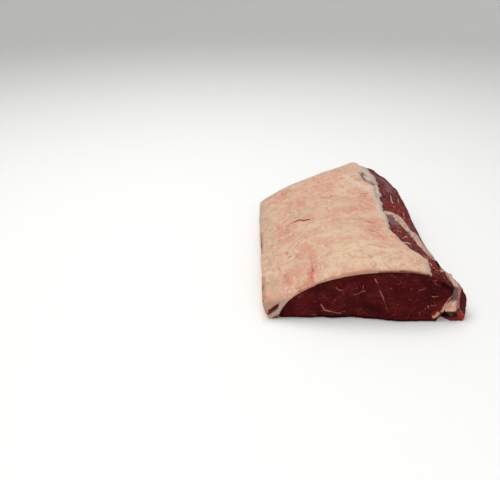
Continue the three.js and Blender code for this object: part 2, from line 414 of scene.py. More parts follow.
@dataclass(frozen=True)
class Finish:
    """A surface: its ground colour and gloss, and the layers over it.

    Attributes:
        name: The material's name.
        shade: The sRGB ground colour.
        rough: The ground roughness.
        ior: Index of refraction of the wet surface.
        specular: Strength of the reflection, 0.5 for what the index gives.
        coat: Share of the surface under a film of meat juice.
        coat_rough: Roughness of that film.
        depth: Share of the light that goes under the surface.
        glow: How far red, green and blue light travel under it, in millimetres.
        layers: What lies over the ground, from the lowest up.
    """

    name: str
    shade: str
    rough: float
    ior: float = 1.38
    specular: float = 0.5
    coat: float = 0.0
    coat_rough: float = 0.2
    depth: float = 0.0
    glow: tuple[float, float, float] = (3.0, 1.5, 1.0)
    layers: tuple[Layer, ...] = field(default_factory=tuple)

    def pattern(self, bench: Bench, layer: Layer, number: int) -> bpy.types.NodeSocket:
        """Makes a layer's pattern.

        Args:
            bench: The material that it goes into.
            layer: The layer.
            number: The layer's place, which shifts its pattern.

        Returns:
            A value that is one where the pattern shows fully.
        """
        place = bench.add("ShaderNodeTexCoord").outputs["Object"]
        cells = tuple(1 / (MM * width) for width in layer.size)
        spot = bench.add(
            "ShaderNodeMapping", {"Vector": place, "Scale": cells, "Location": (7.3 * number, 3.1, 5.9 * number)}
        ).outputs[0]
        low, high = layer.cut
        if layer.grain is Grain.CELLS:
            value = bench.add("ShaderNodeTexVoronoi", {"Vector": spot, "Scale": 1.0}, feature="DISTANCE_TO_EDGE").outputs[0]
        else:
            value = bench.add(
                "ShaderNodeTexNoise", {"Vector": spot, "Scale": 1.0, "Detail": layer.detail, "Roughness": 0.55}
            ).outputs[0]
        if layer.grain is Grain.THREADS:
            offset = bench.add("ShaderNodeMath", {0: value, 1: 0.5}, operation="SUBTRACT").outputs[0]
            value = bench.add("ShaderNodeMath", {0: offset}, operation="ABSOLUTE").outputs[0]
        if layer.ragged:
            return value
        return bench.add(
            "ShaderNodeMapRange", {"Value": value, "From Min": low, "From Max": high}, interpolation_type="SMOOTHSTEP"
        ).outputs[0]

    def mask(self, bench: Bench, layer: Layer, number: int) -> bpy.types.NodeSocket | float:
        """Works out where a layer shows.

        Args:
            bench: The material that it goes into.
            layer: The layer.
            number: The layer's place, which shifts its pattern.

        Returns:
            A value that is one where the layer shows fully.
        """
        shows = None if layer.grain is Grain.EVEN else self.pattern(bench, layer, number)
        if layer.paint:
            painted = bench.add("ShaderNodeAttribute", attribute_name=layer.paint).outputs["Fac"]
            if layer.ragged:
                eaten = bench.add(
                    "ShaderNodeMath", {0: shows, 1: layer.ragged, 2: painted}, operation="MULTIPLY_ADD"
                ).outputs[0]
                low, high = (edge + layer.ragged / 2 for edge in layer.cut)
                shows = bench.add(
                    "ShaderNodeMapRange",
                    {"Value": eaten, "From Min": low, "From Max": high},
                    interpolation_type="SMOOTHSTEP",
                ).outputs[0]
            elif shows is None:
                shows = painted
            else:
                shows = bench.add("ShaderNodeMath", {0: shows, 1: painted}, operation="MULTIPLY").outputs[0]
        if layer.patchy:
            gaps = Layer(size=(layer.patchy,) * 3, cut=(0.5, 0.62), detail=1.0)
            holes = self.pattern(bench, gaps, number + 40)
            shows = bench.add("ShaderNodeMath", {0: shows, 1: holes}, operation="MULTIPLY").outputs[0]
        return 1.0 if shows is None else shows

    def make(self) -> bpy.types.Material:
        """Builds the material.

        Returns:
            The finished material.
        """
        bench = Bench(self.name)
        colour: object = linear(self.shade)
        rough: object = self.rough
        height: object = None
        for number, layer in enumerate(self.layers):
            shows = self.mask(bench, layer, number)
            if layer.share:
                share = bench.add("ShaderNodeMath", {0: shows, 1: layer.share}, operation="MULTIPLY").outputs[0]
                colour = bench.add(
                    "ShaderNodeMix", {0: share, 6: colour, 7: linear(layer.shade)}, data_type="RGBA"
                ).outputs[2]
            if layer.rough >= 0:
                rough = bench.add("ShaderNodeMix", {0: shows, 2: rough, 3: layer.rough}, data_type="FLOAT").outputs[0]
            if layer.swell:
                below = 0.0 if height is None else height
                height = bench.add(
                    "ShaderNodeMath", {0: shows, 1: layer.swell, 2: below}, operation="MULTIPLY_ADD"
                ).outputs[0]
        inputs: dict[int | str, object] = {
            "Base Color": colour,
            "Roughness": rough,
            "IOR": self.ior,
            "Specular IOR Level": self.specular,
            "Coat Weight": self.coat,
            "Coat Roughness": self.coat_rough,
            "Coat IOR": 1.34,
            "Subsurface Weight": self.depth,
            "Subsurface Radius": self.glow,
            "Subsurface Scale": MM,
        }
        if height is not None:
            bump = bench.add("ShaderNodeBump", {"Strength": 1.0, "Distance": MM, "Height": height})
            inputs["Normal"] = bump.outputs[0]
            inputs["Coat Normal"] = bump.outputs[0]
        shader = bench.add("ShaderNodeBsdfPrincipled", inputs)
        bench.add("ShaderNodeOutputMaterial", {"Surface": shader.outputs[0]})
        return bench.material


# Beef back fat, trimmed with a knife and chilled: dull and waxy, cream where it is thick and pink
# where the lean or fine blood vessels show through it. Its cut sides are paler and greyer.
BACK_FAT = Finish(
    name="beef_back_fat",
    shade="#dab197",
    rough=0.52,
    ior=1.45,
    specular=0.14,
    depth=0.1,
    glow=(5.0, 2.4, 1.4),
    layers=(
        Layer(shade="#ddbb9f", share=0.75, size=(34.0, 40.0, 34.0), cut=(0.42, 0.62)),
        Layer(shade="#d69f88", share=0.7, size=(22.0, 34.0, 22.0), cut=(0.5, 0.72), detail=3.0),
        Layer(shade="#d4947e", share=0.75, size=(11.0, 21.0, 11.0), cut=(0.0, 1.0), detail=4.0, paint="pink", ragged=1.0),
        Layer(shade="#dfc1a2", share=0.85, size=(12.0, 14.0, 12.0), cut=(0.0, 1.0), detail=4.0, paint="cream", ragged=0.9),
        Layer(shade="#c8ab90", share=0.7, size=(12.0, 14.0, 12.0), cut=(0.0, 1.0), detail=4.0, paint="beige", ragged=0.9),
        Layer(shade="#e2c6b2", share=0.85, size=(8.0, 10.0, 8.0), cut=(0.1, 0.9), detail=4.0, paint="pale", ragged=0.9),
        Layer(shade="#cda086", share=0.6, size=(9.0, 16.0, 9.0), cut=(0.48, 0.68), detail=4.0),
        Layer(shade="#e6c8af", share=0.6, size=(7.0, 13.0, 7.0), cut=(0.5, 0.7), detail=4.0, swell=0.1),
        Layer(shade="#d8907b", share=0.55, size=(7.0, 13.0, 7.0), cut=(0.55, 0.7), detail=4.0),
        Layer(
            shade="#b87c6a", share=0.55, grain=Grain.THREADS, size=(18.0, 20.0, 16.0), cut=(0.03, 0.0),
            detail=3.0, patchy=17.0, swell=-0.12,
        ),
        Layer(
            shade="#b08b70", share=0.5, grain=Grain.THREADS, size=(11.0, 12.0, 10.0), cut=(0.03, 0.0),
            detail=3.0, patchy=12.0, swell=-0.08,
        ),
        Layer(shade="#b48a6e", share=0.75, size=(3.0, 3.0, 3.0), cut=(0.1, 0.9), paint="tan", ragged=0.7),
        Layer(shade="#c6735f", share=0.75, size=(3.4, 3.4, 3.4), cut=(0.1, 1.0), detail=3.0, paint="vein", ragged=1.1, rough=0.42),
        Layer(shade="#cab5a3", share=0.85, size=(6.0, 6.0, 3.0), cut=(0.1, 0.75), paint="wall", ragged=0.6),
        # Lip: the cut fat along the near face, browner towards the lean; its darkening downwards is partly painted
        # shade under the rounded edge.
        Layer(shade="#ad7a62", share=0.8, size=(12.0, 4.0, 2.5), cut=(0.1, 1.0), paint="lip", ragged=0.5),
        Layer(shade="#b98e7b", share=0.85, size=(9.0, 4.0, 3.0), cut=(0.1, 1.0), paint="cut", ragged=0.4),
        Layer(shade="#b89c8e", share=0.9, size=(4.0, 4.0, 2.0), cut=(0.2, 0.7), paint="seam", ragged=0.4),
        Layer(shade="#b2a396", share=0.85, size=(5.0, 13.0, 4.0), cut=(0.05, 0.85), detail=4.0, paint="grey", ragged=1.3),
        Layer(shade="#6c1c0a", share=0.95, size=(3.0, 3.0, 2.0), cut=(0.25, 0.9), paint="slit", ragged=0.6, rough=0.7),
        Layer(shade="#a8918a", share=0.9, size=(4.0, 7.0, 4.0), cut=(0.2, 0.8), detail=4.0, paint="skin", ragged=0.9, rough=0.25),
        Layer(shade="#5a4745", share=0.8, size=(2.5, 5.0, 3.0), cut=(0.2, 0.8), detail=3.0, paint="shade", ragged=0.8, rough=0.25),
        # Painted highlight: pale glossy spots in the silverskin dip.
        Layer(shade="#d8cac2", share=0.85, size=(3.0, 5.0, 3.0), cut=(0.25, 0.75), paint="painted_highlight", ragged=0.6, rough=0.25),
        # Brown: partly lean showing through the fat, partly painted shade under the rolled near edge, along the rounded
        # tail edge and at the foot of the tail corner.
        Layer(shade="#6f3a30", share=0.9, size=(5.0, 12.0, 2.5), cut=(0.3, 0.8), paint="brown_and_shade", ragged=0.7, rough=0.35),
        Layer(size=(3.0, 3.0, 2.4), cut=(0.3, 0.7), detail=4.0, swell=0.16),
        Layer(size=(10.0, 10.0, 10.0), cut=(0.3, 0.7), detail=2.0, swell=0.35, rough=0.44),
    ),
)


# Lean beef cut across the grain, a few hours old: deep red, close-grained and moist. Each muscle
# bundle is a cell a millimetre or two wide in a net of thin skin, with a few white threads of fat.
CUT_LAYERS = (
    Layer(shade="#380e10", share=0.65, size=(26.0, 26.0, 18.0), cut=(0.44, 0.62)),
    Layer(shade="#621c1c", share=0.5, size=(17.0, 17.0, 11.0), cut=(0.5, 0.68), detail=4.0),
    Layer(
        shade="#7c2e2a", share=0.35, grain=Grain.CELLS, size=(2.6, 2.6, 2.6), cut=(0.16, 0.0), swell=0.06,
        patchy=22.0,
    ),
    Layer(shade="#2e080a", share=0.45, size=(5.0, 5.0, 3.2), cut=(0.5, 0.68), detail=3.0),
    Layer(size=(1.6, 1.6, 1.6), cut=(0.3, 0.7), detail=3.0, swell=0.12),
    Layer(shade="#8c4a44", share=0.35, size=(1.8, 1.8, 1.2), cut=(0.6, 0.72), detail=3.0),
    Layer(
        shade="#94544d", share=0.55, grain=Grain.THREADS, size=(16.0, 16.0, 13.0), cut=(0.008, 0.0), detail=1.5,
        patchy=12.0, rough=0.5, swell=0.06,
    ),
    Layer(shade="#63261b", share=0.45, size=(5.0, 5.0, 4.0), cut=(0.1, 0.9), paint="rust", ragged=0.6),
    Layer(shade="#8c2a1c", share=0.7, size=(4.0, 4.0, 3.0), cut=(0.1, 1.0), paint="bright", ragged=0.7),
    # Mostly painted shade: under the fat's lip, in the near corners and along the fat's edge on the flank; a few marks
    # only darken patches of the lean.
    Layer(shade="#2c090c", share=0.75, size=(9.0, 9.0, 7.0), cut=(0.1, 1.1), paint="dark_tone_and_shade", ragged=0.8),
    Layer(shade="#bd7e71", share=0.85, size=(2.2, 2.2, 1.6), cut=(0.2, 1.0), paint="thread", ragged=0.9, rough=0.5),
)

LEAN = Finish(
    name="lean_beef",
    shade="#4c1215",
    rough=0.42,
    specular=0.0,
    coat=0.05,
    coat_rough=0.2,
    depth=0.04,
    glow=(2.0, 0.5, 0.4),
    layers=CUT_LAYERS
    + (
        # Along the flank the knife has gone between the muscles, so the bundles show lengthwise,
        # under a thin grey-pink skin that mutes the red; that grey-pink is partly painted sheen of the skin.
        Layer(shade="#714042", share=0.9, grain=Grain.EVEN, paint="flank", rough=0.42),
        Layer(shade="#48201f", share=0.8, size=(7.0, 22.0, 7.0), cut=(0.46, 0.6), detail=4.0, paint="flank"),
        Layer(shade="#8a5350", share=0.65, size=(8.0, 14.0, 7.0), cut=(0.5, 0.64), detail=4.0, paint="flank"),
        Layer(shade="#641c1a", share=0.7, size=(4.0, 8.0, 4.0), cut=(0.52, 0.62), detail=4.0, paint="flank"),
        Layer(shade="#30100f", share=0.6, size=(2.4, 4.0, 2.4), cut=(0.54, 0.62), detail=4.0, paint="flank"),
        Layer(shade="#a97068", share=0.6, size=(2.2, 5.0, 2.2), cut=(0.57, 0.66), detail=4.0, paint="flank"),
        Layer(size=(2.4, 16.0, 2.4), cut=(0.35, 0.65), detail=3.0, paint="flank", swell=0.3),
        Layer(shade="#7f2c28", share=0.85, size=(6.0, 8.0, 5.0), cut=(0.2, 0.8), paint="red", ragged=0.8),
        Layer(shade="#43110f", share=0.75, size=(4.0, 7.0, 4.0), cut=(0.49, 0.6), detail=4.0, paint="red"),
        Layer(shade="#b0716a", share=0.65, size=(2.4, 6.0, 2.4), cut=(0.55, 0.66), detail=3.0, paint="red"),
        # Grey patches: thin skin over the lean, partly painted sheen.
        Layer(shade="#875c5c", share=0.85, size=(5.0, 9.0, 5.0), cut=(0.2, 0.8), paint="grey_skin_and_sheen", ragged=0.7, rough=0.34),
        Layer(shade="#8a7470", share=0.5, size=(3.0, 6.0, 3.0), cut=(0.5, 0.66), detail=4.0, paint="grey_skin_and_sheen"),
        Layer(shade="#5e4645", share=0.9, size=(3.0, 6.0, 3.0), cut=(0.25, 0.75), paint="skin", ragged=0.6, rough=0.24),
        Layer(shade="#c9aa99", share=0.95, size=(4.0, 6.0, 4.0), cut=(0.25, 0.65), detail=4.0, paint="band", ragged=1.3, rough=0.42),
        Layer(shade="#9c5f55", share=0.75, size=(4.0, 7.0, 4.0), cut=(0.5, 0.63), detail=4.0, paint="band"),
        Layer(shade="#e6d2c4", share=0.7, size=(3.0, 9.0, 3.0), cut=(0.52, 0.64), detail=4.0, paint="band", swell=0.2),
        # Pale fibres, and painted highlights where the moist lean would catch the light.
        Layer(shade="#d3aba0", share=0.85, size=(1.5, 3.0, 1.5), cut=(0.25, 0.75), paint="fibre_and_highlight", ragged=0.8, rough=0.4),
        # Painted shade: near black in the near corner and along the bottom edge of the cut face.
        Layer(shade="#1a0608", share=0.85, size=(7.0, 7.0, 7.0), cut=(0.2, 1.1), paint="hollow_shade", ragged=0.7),
        Layer(shade="#d49c88", share=0.9, size=(3.0, 3.0, 2.5), cut=(0.2, 0.9), paint="foot", ragged=0.8),
        Layer(shade="#8a5950", share=0.7, size=(12.0, 20.0, 6.0), cut=(0.42, 0.62), detail=4.0, paint="under"),
    ),
)

# The same lean in the thin strip that runs through the tail.
TAIL_LEAN = Finish(
    name="tail_lean",
    shade="#74302a",
    rough=0.4,
    specular=0.12,
    coat=0.03,
    depth=0.04,
    glow=(2.0, 0.5, 0.4),
    layers=CUT_LAYERS[:6],
)

# The side strap: lean that was against the bone, brighter red, under a torn pale fascia.
STRAP_LEAN = Finish(
    name="side_strap_lean",
    shade="#701c1a",
    rough=0.4,
    specular=0.14,
    coat=0.04,
    depth=0.04,
    glow=(2.0, 0.5, 0.4),
    layers=CUT_LAYERS[:6]
    + (
        Layer(shade="#83443d", share=0.7, size=(7.0, 22.0, 7.0), cut=(0.4, 0.62), detail=3.0, paint="flank"),
        Layer(size=(2.4, 20.0, 2.4), cut=(0.35, 0.65), detail=3.0, paint="flank", swell=0.3),
        # Grey patches: thin skin over the strap, partly painted sheen.
        Layer(shade="#875357", share=0.8, size=(5.0, 8.0, 5.0), cut=(0.2, 0.8), paint="grey_skin_and_sheen", ragged=0.6, rough=0.34),
        Layer(shade="#c8a699", share=0.9, size=(4.0, 9.0, 4.0), cut=(0.25, 0.65), paint="band", ragged=0.7, rough=0.42),
        Layer(shade="#98332a", share=0.75, size=(5.0, 5.0, 4.0), cut=(0.2, 0.8), paint="bright", ragged=0.6),
        # Painted shade in the gap under the strap's foot and at its near corner.
        Layer(shade="#24080a", share=0.95, size=(5.0, 5.0, 4.0), cut=(0.2, 0.9), paint="dark_tone_and_shade", ragged=0.6),
        Layer(shade="#cda393", share=0.85, size=(2.0, 4.0, 2.0), cut=(0.3, 0.8), paint="thread", ragged=0.6, rough=0.45),
    ),
)

# Soft seam fat between two muscles: pink, lumpy and moist, with a lilac skin over its top.
SEAM_FAT = Finish(
    name="seam_fat",
    shade="#dca892",
    rough=0.46,
    ior=1.45,
    specular=0.3,
    coat=0.06,
    depth=0.1,
    glow=(5.0, 2.4, 1.4),
    layers=(
        Layer(shade="#c07c68", share=0.6, size=(6.0, 6.0, 4.0), cut=(0.48, 0.66), detail=3.0),
        Layer(shade="#ecc6b2", share=0.7, size=(5.0, 5.0, 3.5), cut=(0.46, 0.64), detail=3.0, swell=0.3),
        Layer(shade="#644a4c", share=0.95, size=(5.0, 5.0, 5.0), cut=(0.2, 0.8), paint="skin", ragged=0.6, rough=0.3),
        Layer(shade="#c8a699", share=0.95, size=(4.0, 8.0, 4.0), cut=(0.2, 0.7), paint="band", ragged=0.5),
        Layer(shade="#96625a", share=0.9, size=(4.0, 4.0, 6.0), cut=(0.1, 0.7), paint="edge", ragged=0.5),
        # Painted shade in the gap under the lump and in the dip beside it.
        Layer(shade="#300d0e", share=1.0, size=(5.0, 5.0, 4.0), cut=(0.2, 0.8), paint="dark_tone_and_shade", ragged=0.5),
        Layer(size=(2.0, 2.0, 2.0), cut=(0.3, 0.7), detail=3.0, swell=0.2),
    ),
)


@dataclass
class Cut:
    """One piece of the joint, in the place of one solid of the frame.

    Attributes:
        node: The solid that it stands for.
        name: Its own name.
        slot: The name of the slot for its finish; not used.
        finish: Its surface.
        meshing: How finely it is meshed.
    """

    node: str
    name: str
    slot: str
    finish: Finish
    meshing: Meshing

    def build(self) -> bpy.types.Object:
        """Builds the piece, dresses it and sets it on the frame.

        Returns:
            The finished piece.
        """
        piece = self.copy_solid()
        carving = Carving(piece)
        self.shape(carving)
        carving.store()
        piece.data.materials.clear()
        piece.data.materials.append(self.finish.make())
        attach(piece, BODY)
        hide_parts(self.node)
        return piece

    def shape(self, carving: Carving) -> None:
        """Evens out the surface; each kind of piece gives its own relief and masks."""
        carving.relax(3)

    def copy_solid(self) -> bpy.types.Object:
        """Copies the solid, rounds its facets off and meshes it evenly.

        Returns:
            An object at the origin with a closed, even mesh.
        """
        shape = bmesh.new()
        shape.from_mesh(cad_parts[self.node].data)
        bmesh.ops.remove_doubles(shape, verts=shape.verts[:], dist=MERGE_DISTANCE)
        bmesh.ops.join_triangles(
            shape,
            faces=shape.faces[:],
            angle_face_threshold=math.radians(12),
            angle_shape_threshold=math.radians(50),
        )
        crease = shape.edges.layers.float.new("crease_edge")
        for edge in shape.edges:
            if len(edge.link_faces) == 2 and edge.calc_face_angle() > math.radians(self.meshing.sharp):
                edge[crease] = 1.0
        mesh = bpy.data.meshes.new(self.name)
        shape.to_mesh(mesh)
        shape.free()
        piece = bpy.data.objects.new(self.name, mesh)
        bpy.context.scene.collection.objects.link(piece)
        rounded = piece.modifiers.new("rounded", "SUBSURF")
        rounded.levels = rounded.render_levels = 2
        even = piece.modifiers.new("even", "REMESH")
        even.mode = "VOXEL"
        even.voxel_size = self.meshing.voxel * MM
        self.apply(piece)
        return piece

    def apply(self, piece: bpy.types.Object) -> None:
        """Turns the modifiers of a piece into its mesh."""
        evaluated = piece.evaluated_get(bpy.context.evaluated_depsgraph_get())
        mesh = bpy.data.meshes.new_from_object(evaluated)
        piece.modifiers.clear()
        old = piece.data
        piece.data = mesh
        bpy.data.meshes.remove(old)
        mesh.name = self.name

    def thin_out(self, carving: Carving, hidden: np.ndarray) -> None:
        """Makes the mesh coarse where nothing shows.

        Args:
            carving: The piece's mesh.
            hidden: True for each point that doesn't show.
        """
        group = carving.piece.vertex_groups.new(name="hidden")
        group.add(np.nonzero(hidden)[0].tolist(), 1.0, "REPLACE")
        fewer = carving.piece.modifiers.new("fewer", "DECIMATE")
        fewer.vertex_group = "hidden"
        fewer.vertex_group_factor = 1.0
        fewer.ratio = 1 - (1 - self.meshing.hidden_share) * hidden.mean()
        self.apply(carving.piece)
        carving.piece.vertex_groups.clear()
        carving.read()


@dataclass
class EyeMuscle(Cut):
    """The large lean muscle: a cut face at each end, the flank, and the underside that it lies on.

    Attributes:
        front_threads: Fat in the near cut face: the seam between two heads of the muscle, branching
        threads and flecks, with painted shade along its bottom edge, under the fat and in its corners.
        back_threads: The same in the far cut face.
        flank_marks: Pale strands, partly painted highlights, pale bands and bare red lean along the flank,
        and painted shade along the fat's edge.
        flank_patches: Silverskin, fascia and bare red lean on the flank, and grey patches that are partly
        painted sheen.
    """

    front_threads: tuple[Mark, ...] = (
        Mark("thread", View.FRONT, ((8, 56), (10.3, 51), (12.2, 47.2)), 1.3, 0.3, 0.45),
        Mark("thread", View.FRONT, ((9.9, 51.0), (12.6, 47.0)), 1.9, 0.3, 0.8),
        Mark("thread", View.FRONT, ((13.2, 45), (14.8, 41), (15.6, 37.6)), 1.3, 0, 0.4),
        Mark("thread", View.FRONT, ((16.2, 37.0), (18.9, 31.6), (20.4, 28.4)), 2.0, 0.3, 0.68),
        Mark("thread", View.FRONT, ((20.4, 28.4), (22.4, 23.0)), 1.4, 0.2, 0.55),
        Mark("thread", View.FRONT, ((22.4, 23.0), (24.6, 17.0), (26.8, 10.7)), 1.4, 0.2, 0.45),
        Mark("thread", View.FRONT, ((-34.6, 40.4), (-32.6, 37.6), (-29.6, 36.2), (-25.8, 36.2)), 1.4, 0, 0.68),
        Mark("thread", View.FRONT, ((-14.0, 30.9), (-9.6, 32.4), (-5.6, 35.2), (-3.3, 37.2)), 1.2, 0, 0.62),
        Mark("thread", View.FRONT, ((-3.3, 37.2), (-3.4, 43.4)), 1.1, 0, 0.55),
        Mark("thread", View.FRONT, ((-3.3, 37.4), (-1.0, 36.0)), 1.2, 0, 0.66),
        Mark("thread", View.FRONT, ((-51.2, 18.3), (-49.3, 15.0), (-46.2, 11.1), (-40.3, 9.5)), 1.6, 0, 0.85),
        Mark("thread", View.FRONT, ((-40.3, 9.5), (-33.1, 7.9), (-27.2, 7.1)), 1.3, 0, 0.7),
        Mark("thread", View.FRONT, ((-51.5, 10.5), (-46.2, 11.1)), 1.2, 0, 0.6),
        Mark("thread", View.FRONT, ((-62.5, 5.3), (-56.6, 4.4)), 1.6, 0, 0.55),
        Mark("thread", View.FRONT, ((61.6, 38.9), (65.5, 39.9), (68.0, 41.6)), 1.2, 0, 0.6),
        Mark("thread", View.FRONT, ((76.4, 31.4), (80.2, 30.4), (83.9, 31.1)), 1.3, 0, 0.65),
        Mark("thread", View.FRONT, ((76.2, 20.3), (80.0, 19.5), (83.6, 20.2)), 1.3, 0, 0.55),
        Mark("thread", View.FRONT, ((72.6, 19.8), (73.9, 16.9)), 1.7, 0, 0.6),
        Mark("thread", View.FRONT, ((76.8, 49.2), (79.9, 49.8), (81.4, 50.6)), 1.4, 0, 0.6),
        Mark("thread", View.FRONT, ((82.0, 44.7), (85.7, 43.0)), 1.2, 0, 0.5),
        Mark("thread", View.FRONT, ((78.6, 47.2), (81.6, 43.9)), 1.1, 0, 0.55),
        Mark("thread", View.FRONT, ((27.6, 57.3), (30.1, 55.5), (32.4, 54.3)), 1.2, 0, 0.6),
        # Dark marks: painted shade along the bottom edge, under the fat's lip and in the near corners, and darker
        # patches on the face.
        Mark("dark_tone_and_shade", View.FRONT, ((77.4, 33.3), (82.4, 33.0)), 2.6, 0.2, 0.9),
        Mark("dark_tone_and_shade", View.FRONT, ((-97.4, 9), (-99, 2)), 7.0, 0.0, 1.0),
        Mark("hollow_shade", View.FRONT, ((-98, 2.4), (-60, 2.0), (-28, 3.4), (0, 2.6), (20, 1.4), (88, 1.0)), 4.4, 0.0, 1.0),
        Mark("dark_tone_and_shade", View.FRONT, ((-14, 20), (4, 17), (16, 12)), 16.0, 0.0, 0.7),
        Mark("dark_tone_and_shade", View.FRONT, ((-60, 34), (-40, 45.5), (-14, 53), (14, 58.5)), 10.0, 0.0, 0.6),
        Mark("dark_tone_and_shade", View.FRONT, ((20, 60), (50, 60), (72, 56)), 6.0, 0.0, 0.6),
        Mark("dark_tone_and_shade", View.FRONT, ((-6, 30), (4, 26), (13, 29)), 9.0, 0.0, 0.5),
        Mark("hollow_shade", View.FRONT, ((90, 45), (96, 41), (100, 36.5)), 8.0, 0.6, 0.9),
        Mark("rust", View.FRONT, ((22, 42), (28, 32), (34, 20)), 12.0, 0.0, 0.5),
        Mark("rust", View.FRONT, ((86, 22), (88, 14), (82, 10)), 6.0, 0.0, 0.8),
        Mark("rust", View.FRONT, ((-44, 44), (-30, 50), (-16, 53)), 4.0, 0.0, 0.8),
        Mark("bright", View.FRONT, ((77.5, 9), (80.5, 11.5), (84, 13)), 4.0, 0.0, 0.7),
        Mark("foot", View.FRONT, ((80.4, 6.4), (82.8, 7.8), (85.6, 10.8)), 3.8, -0.5, 0.95),
        Mark("foot", View.FRONT, ((99.5, 31.5), (96.6, 28.1), (93.8, 23.8)), 1.5, -0.2, 0.7),
        Mark("foot", View.FRONT, ((94.4, 21), (92.4, 17.5), (90.4, 13.5)), 4.4, -0.5, 1.0),
    )
    back_threads: tuple[Mark, ...] = (
        Mark("thread", View.BACK, ((-6, 55), (-2, 46), (4, 36), (6, 26), (11, 14)), 1.5, 0.3, 0.6),
        Mark("thread", View.BACK, ((-60, 20), (-54, 15), (-44, 12), (-33, 10)), 1.4, 0, 0.7),
        Mark("thread", View.BACK, ((28, 44), (31, 38), (38, 36)), 1.2, 0, 0.65),
        Mark("thread", View.BACK, ((50, 22), (57, 27), (63, 26)), 1.2, 0, 0.65),
        Mark("thread", View.BACK, ((-32, 36), (-27, 40), (-24, 38)), 1.1, 0, 0.6),
        Mark("rust", View.BACK, ((20, 40), (26, 30), (30, 20)), 9.0, 0.0, 0.8),
    )
    flecks: Path = (
        (-35.1, 24.1), (-59.0, 22.2), (67.9, 29.3), (50.8, 26.9), (28.7, 40.3), (51.8, 40.0),
        (69.6, 15.8), (-23.8, 9.7), (-10.4, 40.0), (44.3, 48.5), (59.4, 27.1), (37.7, 21.0),
    )
